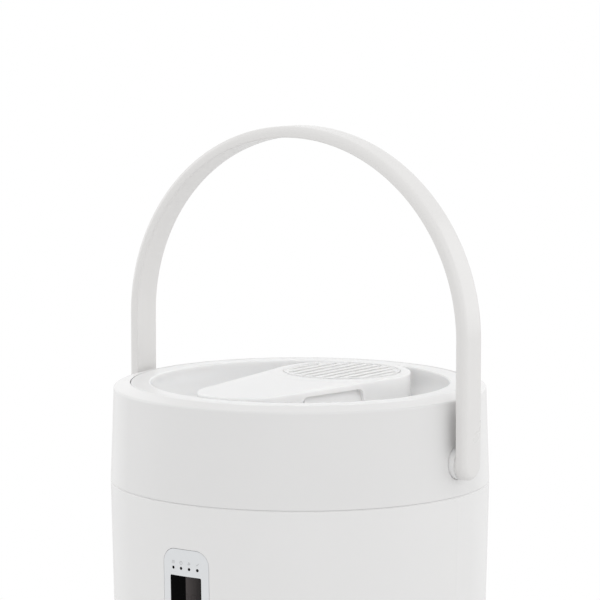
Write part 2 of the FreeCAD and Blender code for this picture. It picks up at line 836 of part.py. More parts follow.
def probe_spring():
    """Coil spring that pushes the probe up."""
    cap_bottom = heater_top_z - pot_heater_gap / 2 - probe_cap_height
    room = cap_bottom - liner_floor_top_z - 2 * probe_wire_radius - 2 * probe_spring_gap
    helix = Part.makeHelix(room / probe_spring_turns, room, probe_spring_radius)
    start = Vector(probe_spring_radius, 0, 0)
    section = Part.Wire(Part.makeCircle(probe_wire_radius, start, ALONG_Y))
    coil = Part.Wire(helix).makePipeShell([section], True, True)
    coil.translate(Vector(-probe_circle, 0, liner_floor_top_z + probe_wire_radius + probe_spring_gap))
    return coil


def thermal_cutout():
    """Safety thermostat under the heater plate with its two blade terminals."""
    bottom = heater_bottom_z - cutout_height
    body = cylinder(cutout_radius, bottom, heater_bottom_z, 0, -cutout_circle)
    blades = [block(centred(x, cutout_blade_thickness),
                    centred(-cutout_circle, cutout_blade_width),
                    (bottom - cutout_blade_length, bottom + 1))
              for x in (-cutout_blade_spacing / 2, cutout_blade_spacing / 2)]
    cutout = joined([body] + blades)
    return cutout.cut(Part.makeTorus(element_ring_radius, element_radius + rest_gap,
                                     Vector(0, 0, heater_bottom_z), UP))


# ================================================================ circulator
def magnet_places():
    """Centres of the coupling's magnets."""
    for index in range(magnet_count):
        angle = math.radians(45 + 360 * index / magnet_count)
        yield magnet_circle * math.cos(angle), magnet_circle * math.sin(angle)


def drive_rotor():
    """Disc on the motor's shaft that holds the driving magnets."""
    disc = cylinder(rotor_radius, rotor_bottom_z, rotor_top_z)
    hub = cylinder(hub_radius, rotor_bottom_z - hub_length + motor_collar_height, rotor_bottom_z)
    bore = cylinder(shaft_radius, 0, rotor_top_z - 1)
    pockets = [cylinder(magnet_radius + magnet_gap, rotor_top_z - magnet_height, rotor_top_z, x, y)
               for x, y in magnet_places()]
    return disc.fuse(hub).removeSplitter().cut(Part.makeCompound([bore] + pockets))


def drive_magnets():
    """Magnets in the rotor."""
    return [cylinder(magnet_radius, rotor_top_z - magnet_height, rotor_top_z, x, y)
            for x, y in magnet_places()]


def motor_shaft():
    """Shaft from inside the motor up into the rotor."""
    return cylinder(shaft_radius, motor_bottom_z + 3, rotor_top_z - 1)


def circulator_motor():
    """Motor can with a bearing collar on top and a bore for its shaft."""
    can = cylinder(motor_radius, motor_bottom_z, motor_top_z)
    lower_rim = [e for e in can.Edges
                 if isinstance(e.Curve, Part.Circle) and abs(e.Curve.Center.z - motor_bottom_z) < TOLERANCE]
    can = can.makeFillet(edge_radius * 3, lower_rim)
    nose = cylinder(motor_collar_radius, motor_top_z, liner_floor_z)
    bore = cylinder(shaft_radius + running_clearance, motor_bottom_z + 3 - rest_gap, liner_floor_z)
    threads = [cylinder(screw_radius, motor_top_z - 4, motor_top_z, x, 0)
               for x in (-motor_screw_circle, motor_screw_circle)]
    return can.fuse(nose).removeSplitter().cut(Part.makeCompound([bore] + threads))


def bracket_screw_places():
    """Centres of the screws that hang the motor's bracket from the liner."""
    for index in range(bracket_screw_count):
        angle = math.radians(90 + 360 * index / bracket_screw_count)
        yield bracket_screw_circle * math.cos(angle), bracket_screw_circle * math.sin(angle)


def motor_bracket():
    """Plate under the liner that carries the motor."""
    plate = cylinder(bracket_radius, motor_top_z, bracket_top_z)
    spacers = [cylinder(post_radius, bracket_top_z, liner_floor_z, x, y)
               for x, y in bracket_screw_places()]
    holes = [cylinder(motor_collar_radius + screw_hole_gap, motor_top_z, bracket_top_z)]
    for x in (-motor_screw_circle, motor_screw_circle):
        holes.append(cylinder(screw_radius + screw_hole_gap, motor_top_z, bracket_top_z, x, 0))
    for x, y in bracket_screw_places():
        holes.append(cylinder(screw_radius + screw_hole_gap, motor_top_z, liner_floor_z, x, y))
    return joined([plate] + spacers).cut(Part.makeCompound(holes))


def bracket_screws():
    """Screws from below through the bracket and its spacers into the liner's floor."""
    length = liner_floor_top_z - motor_top_z
    return [screw(x, y, motor_top_z, length) for x, y in bracket_screw_places()]


def motor_screws():
    """Screws that hold the motor to its bracket."""
    length = bracket_thickness + 3
    return [screw(x, 0, bracket_top_z, length, upwards=False)
            for x in (-motor_screw_circle, motor_screw_circle)]


def impeller_pin():
    """Axle on the pot's floor, with a wider foot."""
    foot = cylinder(pin_base_radius, pot_floor_z, pot_floor_z + pin_base_height)
    return foot.fuse(cylinder(pin_radius, pot_floor_z, pin_top_z + pin_cap_height / 2)).removeSplitter()


def impeller_retainer():
    """Cap on the pin that keeps the impeller on."""
    cap = cylinder(pin_cap_radius, pin_top_z, pin_top_z + pin_cap_height)
    return cap.cut(cylinder(pin_radius, pin_top_z, pin_top_z + pin_cap_height / 2))


def impeller():
    """Magnetic impeller with straight radial blades."""
    disc = cylinder(impeller_radius, impeller_bottom_z, impeller_disc_top_z)
    hub = cylinder(impeller_hub_radius, impeller_disc_top_z, impeller_top_z)
    blade = block((impeller_hub_radius / 2, impeller_radius - 1),
                  centred(0, impeller_blade_thickness), (impeller_disc_top_z - 1, impeller_top_z))
    wheel = joined([disc, hub] + spread(blade, impeller_blade_count))
    bore = cylinder(pin_radius + running_clearance, impeller_bottom_z, impeller_top_z)
    pockets = [cylinder(magnet_radius + magnet_gap, impeller_bottom_z,
                        impeller_bottom_z + magnet_height, x, y) for x, y in magnet_places()]
    return wheel.cut(Part.makeCompound([bore] + pockets))


def impeller_magnets():
    """Magnets in the impeller."""
    return [cylinder(magnet_radius, impeller_bottom_z, impeller_bottom_z + magnet_height, x, y)
            for x, y in magnet_places()]


def impeller_guard():
    """Slotted cover that keeps food away from the impeller."""
    outer = guard_inner_radius + guard_wall
    cover = cylinder(outer, pot_floor_z, guard_top_z)
    top_edge = [e for e in cover.Edges
                if isinstance(e.Curve, Part.Circle) and abs(e.Curve.Center.z - guard_top_z) < TOLERANCE]
    cover = cover.makeFillet(guard_wall * 2, top_edge)
    room = cylinder(guard_inner_radius, pot_floor_z, guard_top_z - guard_wall)
    slot_bottom = pot_floor_z + guard_wall
    slot_top = guard_top_z - 3 * guard_wall
    slot = block((guard_inner_radius / 2, outer + 1), centred(0, guard_slot_width),
                 (slot_bottom, slot_top))
    hole_circle = guard_inner_radius * guard_hole_place
    hole = cylinder(guard_hole_radius, slot_top, guard_top_z, hole_circle, 0)
    holes = spread(slot, guard_slot_count) + spread(hole, guard_hole_count)
    holes += [cylinder(guard_hole_radius, slot_top, guard_top_z)]
    return cover.cut(room).cut(Part.makeCompound(holes))


# ================================================================ control panel
def panel_outline(margin, y_span):
    """Bar with the panel's outline, wider by a margin on each side."""
    return rounded_prism_y(panel_width + 2 * margin, panel_height + 2 * margin,
                           panel_corner_radius + margin, y_span, z=panel_z)


def indicator_places():
    """Sideways places of the indicator lamps."""
    middle = (indicator_count - 1) / 2
    return [(index - middle) * indicator_pitch for index in range(indicator_count)]


def button_places():
    """Name, sideways place and height of each button."""
    half = button_spacing_x / 2
    lower = first_button_z - button_spacing_z
    return [("minus_button", -half, first_button_z), ("plus_button", half, first_button_z),
            ("timer_button", -half, lower), ("power_button", half, lower)]


def board_post_places():
    """Centres of the posts that hold the control board."""
    x = board_width / 2 - board_post_inset
    z = board_height / 2 - board_post_inset
    return [(sx * x, panel_z + sz * z) for sx in (-1, 1) for sz in (-1, 1)]


def control_panel():
    """Panel that lies flush in the casing, with a wider flange behind it and four posts."""
    span = (-seam_radius, panel_back_y)
    face = panel_outline(0, span).common(casing_envelope())
    flange = panel_outline(panel_flange, span).common(casing_envelope(casing_wall))
    posts = [cylinder_y(board_post_radius, panel_back_y - 1, board_front_y, x, z)
             for x, z in board_post_places()]
    panel = joined([face, flange] + posts)
    seat = rounded_prism_y(window_width + 2 * window_gap, window_height + 2 * window_gap,
                           window_corner_radius, span, z=window_z)
    cuts = [seat.cut(casing_envelope(window_thickness)),
            rounded_prism_y(window_width - 2 * window_ledge, window_height - 2 * window_ledge,
                            window_corner_radius, span, z=window_z)]
    for x in indicator_places():
        cuts.append(cylinder_y(indicator_radius + window_gap / 2, *span, x, indicator_z))
    for _, x, z in button_places():
        cuts.append(cylinder_y(button_radius + button_gap, *span, x, z))
    for x, z in board_post_places():
        cuts.append(cylinder_y(screw_radius, panel_back_y, board_front_y, x, z))
    return panel.cut(Part.makeCompound(cuts))


def display_window():
    """Dark window over the display, curved like the casing."""
    bar = rounded_prism_y(window_width, window_height, window_corner_radius,
                          (-seam_radius, panel_back_y), z=window_z)
    return bar.common(casing_envelope()).cut(casing_envelope(window_thickness))


def indicator_lenses():
    """Light guides from the panel's face to the lamps."""
    end = board_front_y - lamp_depth - lamp_gap
    lenses = []
    for x in indicator_places():
        pipe = cylinder_y(indicator_radius, -seam_radius, end, x, indicator_z)
        lenses.append(pipe.common(casing_envelope()))
    return lenses


def indicator_lamps():
    """Small lamps on the control board."""
    return [block(centred(x, lamp_width), (board_front_y - lamp_depth, board_front_y),
                  centred(indicator_z, lamp_height)) for x in indicator_places()]


def push_button(x, z):
    """Button cap with a wider flange behind the panel."""
    flange_start = panel_back_y + button_back_gap
    cap = cylinder_y(button_radius, -seam_radius - button_proud, flange_start, x, z)
    cap = cap.common(casing_envelope(-button_proud))
    flange = cylinder_y(button_flange_radius, flange_start,
                        flange_start + button_flange_thickness, x, z)
    return cap.fuse(flange).removeSplitter()


def tact_switches():
    """Switches on the control board behind the buttons."""
    switches = []
    flange_back = panel_back_y + button_back_gap + button_flange_thickness
    plunger_tip = flange_back + button_travel + plunger_gap
    for _, x, z in button_places():
        body_front = board_front_y - switch_height
        body = block(centred(x, switch_side), (body_front, board_front_y), centred(z, switch_side))
        plunger = cylinder_y(switch_plunger_radius, min(plunger_tip, body_front), body_front, x, z)
        switches.append(body.fuse(plunger).removeSplitter())
    return switches


def control_board():
    """Circuit board behind the panel."""
    board = block(centred(0, board_width), (board_front_y, board_front_y + board_thickness),
                  centred(panel_z, board_height))
    holes = [cylinder_y(screw_radius + screw_hole_gap, board_front_y,
                        board_front_y + board_thickness, x, z) for x, z in board_post_places()]
    return board.cut(Part.makeCompound(holes))


def board_screws():
    """Screws that hold the control board to the panel's posts."""
    seat = board_front_y + board_thickness
    screws = []
    for x, z in board_post_places():
        shank = cylinder_y(screw_radius, board_front_y - 4, seat, x, z)
        head = cylinder_y(screw_head_radius, seat, seat + screw_head_height, x, z)
        screws.append(shank.fuse(head).removeSplitter())
    return screws


def display_module():
    """Display behind the window."""
    return block(centred(0, window_width - 2 * display_margin),
                 (board_front_y - display_depth, board_front_y),
                 centred(window_z, window_height - 2 * display_margin))


# ================================================================ mains inlet and power board
def inlet_socket_shape(y_span):
    """The inlet's socket: a rectangle with its two upper corners cut off."""
    room = block(centred(0, inlet_socket_width), y_span, centred(inlet_z, inlet_socket_height))
    corners = [e for e in room.Edges
               if abs(abs(e.tangentAt(e.FirstParameter).y) - 1) < TOLERANCE
               and e.CenterOfMass.z > inlet_z]
    return room.makeChamfer(inlet_socket_chamfer, corners)


def inlet_pin_places():
    """Centres of the three pins: earth above, live and neutral below."""
    return [(0.0, inlet_z + inlet_pin_offset),
            (-inlet_pin_spacing, inlet_z - inlet_pin_offset),
            (inlet_pin_spacing, inlet_z - inlet_pin_offset)]


def mains_inlet():
    """Inlet housing that snaps into the casing."""
    flange = block(centred(0, inlet_flange_width), (inlet_face_y, inlet_face_y + inlet_flange_thickness),
                   centred(inlet_z, inlet_flange_height))
    body = block(centred(0, inlet_body_width), (inlet_face_y - inlet_body_depth, inlet_face_y),
                 centred(inlet_z, inlet_body_height))
    front = inlet_face_y + inlet_flange_thickness
    housing = flange.fuse(body).removeSplitter()
    housing = housing.cut(inlet_socket_shape((front - inlet_socket_depth, front)))
    back = inlet_face_y - inlet_body_depth
    slots = [block(centred(x, inlet_pin_width), (back, front), centred(z, inlet_pin_height))
             for x, z in inlet_pin_places()]
    return housing.cut(Part.makeCompound(slots))


def inlet_pins():
    """Pins with a blade tab at the back of each."""
    front = inlet_face_y + inlet_flange_thickness
    floor = front - inlet_socket_depth
    back = inlet_face_y - inlet_body_depth - inlet_tab_length
    return [block(centred(x, inlet_pin_width), (back, floor + inlet_pin_length),
                  centred(z, inlet_pin_height)) for x, z in inlet_pin_places()]


def power_board_corners():
    """Centres of the posts under the power board."""
    inset = post_radius + power_post_margin
    x = power_board_length / 2 - inset
    front = power_board_front + inset
    back = power_board_front + power_board_width - inset
    return [(-x, front), (x, front), (-x, back), (x, back)]


def power_board():
    """Mains circuit board on the tray, behind the motor."""
    top = power_board_z + board_thickness
    board = block(centred(0, power_board_length),
                  (power_board_front, power_board_front + power_board_width), (power_board_z, top))
    holes = [cylinder(screw_radius + screw_hole_gap, power_board_z, top, x, y)
             for x, y in power_board_corners()]
    return board.cut(Part.makeCompound(holes))


def power_board_screws():
    """Screws that hold the power board to the tray."""
    top = power_board_z + board_thickness
    return [screw(x, y, top, power_post_height, upwards=False) for x, y in power_board_corners()]


def on_board(size, x, y):
    """Box-shaped component that stands on the power board."""
    bottom = power_board_z + board_thickness
    return block(centred(x, size[0]), centred(y, size[1]), (bottom, bottom + size[2]))


component_row_y = power_board_front + power_board_width / 2 - component_row_shift
transformer_x = -power_board_length / 2 + transformer_size[0] / 2 + board_part_margin
relay_x = power_board_length / 2 - relay_size[0] / 2 - relay_inset
terminal_y = (power_board_front + power_board_width - terminal_size[1] / 2
              - power_post_margin)


def transformer():
    """Small mains transformer: a core with a wound bobbin through it."""
    core = on_board(transformer_size, transformer_x, component_row_y)
    length, width, height = transformer_size
    bobbin = on_board((length - 2 * bobbin_inset, width + 2 * bobbin_bulge, height - bobbin_drop),
                      transformer_x, component_row_y)
    return core.fuse(bobbin).removeSplitter()


def relay():
    """Relay that switches the heater."""
    return on_board(relay_size, relay_x, component_row_y)


def capacitor():
    """Smoothing capacitor."""
    bottom = power_board_z + board_thickness
    return cylinder(capacitor_radius, bottom, bottom + capacitor_height,
                    capacitor_x, component_row_y - capacitor_shift)


def terminal_block():
    """Terminal block for the mains and heater leads."""
    return on_board(terminal_size, 0, terminal_y)


def mains_leads():
    """Leads from the inlet's tabs to the terminal block."""
    tab_end = inlet_face_y - inlet_body_depth - inlet_tab_length
    top = power_board_z + board_thickness + terminal_size[2]
    return [tube_along([(x, tab_end, z), (x, terminal_y, z), (x, terminal_y, top)],
                       lead_radius, lead_bend_radius) for x, z in inlet_pin_places()]


def heater_leads():
    """Leads from the element's cold legs to the terminal block."""
    leg_end = heater_bottom_z - element_leg_length
    top = power_board_z + board_thickness + terminal_size[2]
    drop = (leg_end - top) / 3
    return [tube_along([(x, y, leg_end), (x, y, leg_end - drop),
                        (x, terminal_y, top + drop), (x, terminal_y, top)], lead_radius, lead_bend_radius)
            for x, y in element_leg_places()]


def signal_cable():
    """Flat cable from the power board, under the motor and up the back of the control board."""
    across = centred(0, cable_width)
    floor = tray_floor_z + cable_gap
    start = power_board_front + board_part_margin
    rise = board_front_y + board_thickness + cable_gap
    board_bottom = panel_z - board_height / 2
    return joined([
        block(across, (start, start + cable_thickness), (floor, power_board_z)),
        block(across, (rise, start + cable_thickness), (floor, floor + cable_thickness)),
        block(across, (rise, rise + cable_thickness), (floor, board_bottom + cable_overlap)),
    ])


# ================================================================ handle
def arch_outline(inset):
    """Face of the handle's arch in the XZ plane, from the pivots' level up, moved in by inset."""
    half = handle_half_span - inset
    rise = handle_arch_rise - inset
    spring_z = rim_z + handle_leg_rise
    bottom = pivot_z - strap_width
    centre = Vector(0, 0, spring_z)
    longer, shorter = (half, rise) if half > rise else (rise, half)
    ellipse = Part.Ellipse(centre, longer, shorter)
    ellipse.Axis = Vector(0, -1, 0)
    ellipse.XAxis = ALONG_X if half > rise else UP
    right = Vector(half, 0, spring_z)
    left = Vector(-half, 0, spring_z)
    first = ellipse.parameter(right)
    last = ellipse.parameter(left)
    if last < first:
        last += 2 * math.pi
    arch = Part.Edge(ellipse, first, last)
    if arch.CenterOfMass.z < spring_z:
        arch = Part.Edge(ellipse, last, first + 2 * math.pi)
    ends = sorted((v.Point for v in arch.Vertexes), key=lambda p: p.x)
    low_left = Vector(-half, 0, bottom)
    low_right = Vector(half, 0, bottom)
    edges = [arch,
             Part.LineSegment(ends[0], low_left).toShape(),
             Part.LineSegment(low_left, low_right).toShape(),
             Part.LineSegment(low_right, ends[1]).toShape()]
    return Part.Face(Part.Wire(Part.__sortEdges__(edges)))


def bail_handle():
    """One-piece bail: two legs with round ends, an arch, and a stub axle in each end."""
    outer = arch_outline(0)
    inner = arch_outline(strap_thickness)
    half = strap_width / 2
    top = rim_z + handle_leg_rise + handle_arch_rise + 1
    arch = outer.extrude(Vector(0, strap_width, 0)).cut(inner.extrude(Vector(0, strap_width, 0)))
    arch.translate(Vector(0, -half, 0))
    reach = handle_half_span + 1
    side = block((-reach, reach), (-half, half), (pivot_z, top))
    ends = cylinder_x(half, -reach, reach, z=pivot_z)
    strap = arch.common(side.fuse(ends).removeSplitter())
    strap = strap.removeSplitter()
    strap = strap.makeFillet(strap_inner_radius, long_edges(strap, inner=True))
    strap = strap.makeFillet(strap_outer_radius, long_edges(strap, inner=False))
    stub = cylinder_x(axle_radius, axle_end_x, strap_inner_x + 1, z=pivot_z)
    seat = cylinder_x(bush_flange_radius, strap_inner_x - rest_gap, strap_inner_x + 1, z=pivot_z)
    axles = [stub.fuse(seat).removeSplitter()]
    axles = axles + [a.mirror(Vector(0, 0, 0), ALONG_X) for a in axles]
    handle = joined([strap] + axles)
    threads = both_sides(cylinder_x(screw_radius, axle_end_x, axle_end_x + pivot_thread_depth, z=pivot_z))
    return handle.cut(Part.makeCompound(threads))


def long_edges(strap, inner):
    """Edges where one broad face of the strap meets its sides and its round ends."""
    half = strap_width / 2
    middle_half = handle_half_span - strap_thickness / 2
    middle_rise = handle_arch_rise - strap_thickness / 2
    spring_z = rim_z + handle_leg_rise
    edges = []
    for edge in strap.Edges:
        middle = edge.valueAt((edge.FirstParameter + edge.LastParameter) / 2)
        on_side = abs(abs(middle.y) - half) < TOLERANCE
        on_end = middle.z < pivot_z - TOLERANCE
        height = max(0.0, middle.z - spring_z) / middle_rise
        is_inner = math.hypot(middle.x / middle_half, height) < 1
        if (on_side or on_end) and is_inner == inner and edge.Length > strap_thickness + 1:
            edges.append(edge)
    return edges


def pivot_bushes():
    """Flanged bushes in the collar's sides, in which the handle's axles turn."""
    flange = cylinder_x(bush_flange_radius, bush_seat_x, strap_inner_x - 2 * rest_gap, z=pivot_z)
    sleeve = cylinder_x(bush_sleeve_radius, pad_inner_x, bush_seat_x, z=pivot_z)
    bore = cylinder_x(axle_radius + running_clearance, pad_inner_x, strap_inner_x, z=pivot_z)
    return both_sides(flange.fuse(sleeve).removeSplitter().cut(bore))


def pivot_washers():
    """Washers that keep the axles in their bushes."""
    start = axle_end_x - washer_thickness
    washer = cylinder_x(washer_radius, start, axle_end_x, z=pivot_z)
    return both_sides(washer.cut(cylinder_x(screw_radius, start, axle_end_x, z=pivot_z)))


def pivot_screws():
    """Screws through the washers into the axles."""
    seat = axle_end_x - washer_thickness
    shank = cylinder_x(screw_radius, seat, axle_end_x + pivot_screw_length, z=pivot_z)
    head = cylinder_x(screw_head_radius, seat - screw_head_height, seat, z=pivot_z)
    return both_sides(shank.fuse(head).removeSplitter())


# ================================================================ lid
def bridge_outline(inset):
    """Outline of the bridge: a small front circle and a large back one with their tangents."""
    front_radius = bridge_front_radius - inset
    back_radius = bridge_back_radius - inset
    outward = Vector(math.cos(bridge_taper), -math.sin(bridge_taper), 0)
    mirrored = Vector(-outward.x, outward.y, 0)
    front = Vector(0, bridge_front_y, 0)
    back = Vector(0, bridge_back_y, 0)
    front_right = front + outward * front_radius
    front_left = front + mirrored * front_radius
    back_right = back + outward * back_radius
    back_left = back + mirrored * back_radius
    edges = [
        Part.LineSegment(front_right, back_right).toShape(),
        Part.Arc(back_right, back + ALONG_Y * back_radius, back_left).toShape(),
        Part.LineSegment(back_left, front_left).toShape(),
        Part.Arc(front_left, front - ALONG_Y * front_radius, front_right).toShape(),
    ]
    return Part.Face(Part.Wire(edges))


def bridge_prism(inset, bottom, top):
    """Upright prism with the bridge's outline."""
    prism = bridge_outline(inset).extrude(UP * (top - bottom))
    prism.translate(UP * bottom)
    return prism


def bridge_body():
    """The bridge's outer form: a gently falling top with rounded edges and a low plateau."""
    body = bridge_prism(0, dish_floor_z - lid_wall, bridge_top_z)
    back_end = bridge_back_y + bridge_back_radius
    front_end = bridge_front_y - bridge_front_radius
    fall = math.degrees(math.atan(bridge_front_drop / (back_end - front_end)))
    cutter = block(centred(0, 4 * bridge_back_radius), (-4 * dish_radius, dish_radius),
                   (bridge_top_z, bridge_top_z + dish_depth))
    cutter.rotate(Vector(0, back_end, bridge_top_z), ALONG_X, fall)
    body = body.cut(cutter)
    rim = [e for e in body.Edges
           if e.BoundBox.ZMin > rim_z - bridge_front_drop and e.BoundBox.ZLength < bridge_front_drop]
    body = body.makeFillet(bridge_edge_radius, rim)
    plateau = Part.makeCone(bridge_back_radius + plateau_slope_width, bridge_back_radius - 1,
                            bridge_rise, Vector(0, bridge_back_y, rim_z), UP)
    plateau = plateau.common(bridge_prism(plateau_edge_inset, rim_z - 1, bridge_top_z))
    return body.fuse(plateau).removeSplitter()


def grip_frame(solid):
    """Moves a solid from the origin to the middle of the right grip, with Y pointing outwards."""
    outward = Vector(math.cos(bridge_taper), -math.sin(bridge_taper), 0)
    along = Vector(math.sin(bridge_taper), math.cos(bridge_taper), 0)
    wall = Vector(0, bridge_front_y, 0) + outward * bridge_front_radius
    middle = wall + along * ((grip_centre_y - wall.y) / along.y)
    solid.rotate(Vector(0, 0, 0), UP, -90 - math.degrees(bridge_taper))
    solid.translate(middle)
    return solid


def grip_pocket(extra):
    """Finger grip in the bridge's right side: a ceiling for the fingertips over a ramp."""
    ceiling = rim_z - grip_drop
    middle = ceiling - grip_height / 2
    pocket = rounded_prism_y(grip_length + 2 * extra, grip_height + 2 * extra,
                             grip_corner_radius + extra, (-grip_depth - extra, grip_depth),
                             z=middle)
    back = -grip_depth - extra
    low = ceiling - grip_height - extra
    corners = [Vector(-grip_length, back - 1, ceiling - grip_lip - extra),
               Vector(-grip_length, back, ceiling - grip_lip - extra),
               Vector(-grip_length, -extra, low),
               Vector(-grip_length, -extra, low - 1),
               Vector(-grip_length, back - 1, low - 1)]
    ramp = Part.Face(Part.makePolygon(corners + corners[:1])).extrude(ALONG_X * 2 * grip_length)
    return grip_frame(pocket.cut(ramp))


def drain_slot():
    """Small upright slot at the front end of the right grip."""
    top = rim_z - grip_drop - grip_lip
    slot = block(centred(grip_length / 2 - grip_corner_radius, drain_slot_width),
                 (-drain_slot_depth, 1), (top - drain_slot_height, top))
    return grip_frame(slot)


def lid_screw_places():
    """Centres of the screws that hold the inner lid."""
    angle = math.radians(lid_screw_angle)
    for side in (-1, 1):
        for end in (-1, 1):
            yield (side * lid_screw_circle_radius * math.cos(angle),
                   end * lid_screw_circle_radius * math.sin(angle))


gasket_bottom_z = pot_flange_top_z + rest_gap
inner_flange_z = gasket_bottom_z + gasket_thickness
inner_plate_z = inner_flange_z - inner_lid_depth
inner_plate_top_z = inner_plate_z + inner_lid_thickness
inner_flange_radius = throat_radius - inner_lid_flange_gap
inner_cone_radius = pot_inner_radius - inner_lid_gap


def lid_shell():
    """Outer lid: flat ring, round dish, hollow bridge and the vent cap's seat."""
    floor_under = dish_floor_z - lid_wall
    corner_r = dish_radius - dish_corner_radius
    corner_z = dish_floor_z + dish_corner_radius
    skirt_bottom = ledge_z + seat_gap
    shell = turned([
        (0, dish_floor_z),
        (corner_r, dish_floor_z),
        corner_arc(corner_r, corner_z, dish_corner_radius, -45, 0),
        (dish_radius, rim_z),
        (lid_radius, rim_z),
        (lid_radius, skirt_bottom),
        (lid_radius - lid_wall, skirt_bottom),
        (lid_radius - lid_wall, rim_z - lid_wall),
        (dish_radius + lid_wall, rim_z - lid_wall),
        (dish_radius + lid_wall, corner_z),
        corner_arc(corner_r, corner_z, dish_corner_radius + lid_wall, -45, -90),
        (0, floor_under),
    ])
    shell = round_circles(shell, lid_edge_radius, [(dish_radius, rim_z), (lid_radius, rim_z)])
    bosses = [cylinder(lid_boss_radius, inner_plate_top_z, dish_floor_z - lid_wall / 2, x, y)
              for x, y in lid_screw_places()]
    inside = turned([
        (0, floor_under),
        (corner_r, floor_under),
        corner_arc(corner_r, corner_z, dish_corner_radius + lid_wall, -45, 0),
        (dish_radius + lid_wall, bridge_top_z + 1),
        (0, bridge_top_z + 1),
    ])
    shell = joined([shell, bridge_body().common(inside)] + bosses)
    hollow = bridge_prism(lid_wall, floor_under - 1, rim_z - bridge_front_drop - lid_wall / 2)
    boss = cylinder(bridge_back_radius - lid_wall / 2, bridge_top_z - cap_boss_depth,
                    bridge_top_z, 0, bridge_back_y)
    hollow = hollow.cut(boss)
    for pocket in both_sides(grip_pocket(lid_wall)):
        hollow = hollow.cut(pocket)
    shell = shell.cut(hollow)
    seat_radius = cap_rim_radius + cap_clearance
    cuts = [cylinder(seat_radius, bridge_top_z - cap_seat_depth, bridge_top_z + 1,
                     0, bridge_back_y)]
    through = cylinder(seat_radius - cap_ledge_width, dish_floor_z, bridge_top_z, 0, bridge_back_y)
    cuts += both_sides(grip_pocket(0))
    shell = shell.cut(Part.makeCompound(cuts)).cut(through).cut(drain_slot())
    threads = [cylinder(screw_radius, inner_plate_top_z, dish_floor_z - lid_wall / 2, x, y)
               for x, y in lid_screw_places()]
    return shell.cut(Part.makeCompound(threads))


def vent_cap():
    """Pull-out round cap with straight ribs and slots."""
    rim_top = bridge_top_z + cap_rim_rise
    plate_top = rim_top - cap_rim_rise
    rim_bottom = bridge_top_z - cap_seat_depth + seat_gap
    inner = cap_rim_radius - cap_rim_width
    plate_bottom = plate_top - cap_plate_thickness
    rim = ring(inner, cap_rim_radius, rim_bottom, rim_top)
    plate = cylinder(cap_rim_radius - cap_rim_width / 2, rim_bottom, plate_top)
    skirt = cylinder(cap_skirt_radius, plate_bottom - cap_skirt_depth, plate_top)
    cap = joined([rim, plate, skirt])
    cap = round_circles(cap, cap_rim_rise - slot_end_gap / 2, [(cap_rim_radius, rim_top), (inner, rim_top)])
    room = cylinder(cap_skirt_radius - cap_skirt_wall, plate_bottom - cap_skirt_depth, plate_bottom)
    cap = cap.cut(room)
    reach = inner - slot_end_gap
    slots = []
    count = int((reach - slot_width) // rib_pitch)
    for index in range(-count, count + 1):
        x = index * rib_pitch
        half = math.sqrt(reach ** 2 - (abs(x) + slot_width / 2) ** 2)
        slot = block(centred(x, slot_width), (-half, half), (plate_bottom, plate_top + 1))
        slots.append(slot)
    cap = cap.cut(Part.makeCompound(slots))
    cap.translate(Vector(0, bridge_back_y, 0))
    return cap


def inner_lid():
    """Inner lid that hangs in the pot's mouth, with the steam port and the screw holes."""
    thin = inner_lid_thickness
    knee = inner_cone_radius - inner_lid_cone_width
    lid = turned([
        (0, inner_plate_z),
        (knee, inner_plate_z),
        (inner_cone_radius, inner_flange_z),
        (inner_flange_radius, inner_flange_z),
        (inner_flange_radius, inner_flange_z + thin),
        (inner_cone_radius - thin / 2, inner_flange_z + thin),
        (knee - thin / 2, inner_plate_top_z),
        (0, inner_plate_top_z),
    ])
    hole_radius = screw_radius + screw_hole_gap
    holes = [cylinder(hole_radius, inner_plate_z, inner_plate_top_z, x, y)
             for x, y in lid_screw_places()]
    holes.append(cylinder(steam_port_radius, inner_plate_z, inner_plate_top_z, 0, bridge_back_y))
    return lid.cut(Part.makeCompound(holes))


def lid_gasket():
    """Silicone ring between the inner lid and the pot's flange."""
    outer = inner_flange_radius - gasket_inset
    return ring(outer - gasket_width, outer, gasket_bottom_z, inner_flange_z)


def lid_screws():
    """Screws from below through the inner lid into the lid's bosses."""
    length = dish_floor_z - lid_wall / 2 - inner_plate_z - lid_screw_end_gap
    return [screw(x, y, inner_plate_z, length) for x, y in lid_screw_places()]


def steam_duct():
    """Tube that leads steam from the inner lid up to the vent cap."""
    outer = steam_port_radius + duct_wall
    top = inner_plate_top_z + duct_height
    flange = cylinder(outer + duct_flange_width, inner_plate_top_z,
                      inner_plate_top_z + duct_flange_thickness)
    duct = flange.fuse(cylinder(outer, inner_plate_top_z, top)).removeSplitter()
    duct = duct.cut(cylinder(steam_port_radius, inner_plate_top_z, top))
    bar = block(centred(0, 2 * steam_port_radius + duct_wall), centred(0, duct_wall),
                (top - 3 * duct_wall, top))
    duct = duct.fuse(bar).removeSplitter()
    duct.translate(Vector(0, bridge_back_y, 0))
    return duct


# ================================================================ feet and fasteners of the base
def rubber_feet():
    """Feet with a stem in the tray's floor."""
    feet = []
    for x, y in foot_places():
        pad = cylinder(foot_radius - foot_gap, 0, tray_bottom_z + foot_recess, x, y)
        lower_rim = [e for e in pad.Edges
                     if isinstance(e.Curve, Part.Circle) and abs(e.Curve.Center.z) < TOLERANCE]
        pad = pad.makeFillet(foot_edge_radius, lower_rim)
        stem = cylinder(foot_stem_radius - foot_stem_gap, foot_recess, tray_floor_z + foot_stem_rise,
                        x, y)
        feet.append(pad.fuse(stem).removeSplitter())
    return feet


def base_screws():
    """Screws from below through the tray into the casing's posts."""
    seat = tray_bottom_z + screw_head_height / 2
    length = tray_floor + base_screw_length - screw_head_height
    return [screw(x, y, seat, length) for x, y in base_screw_places()]


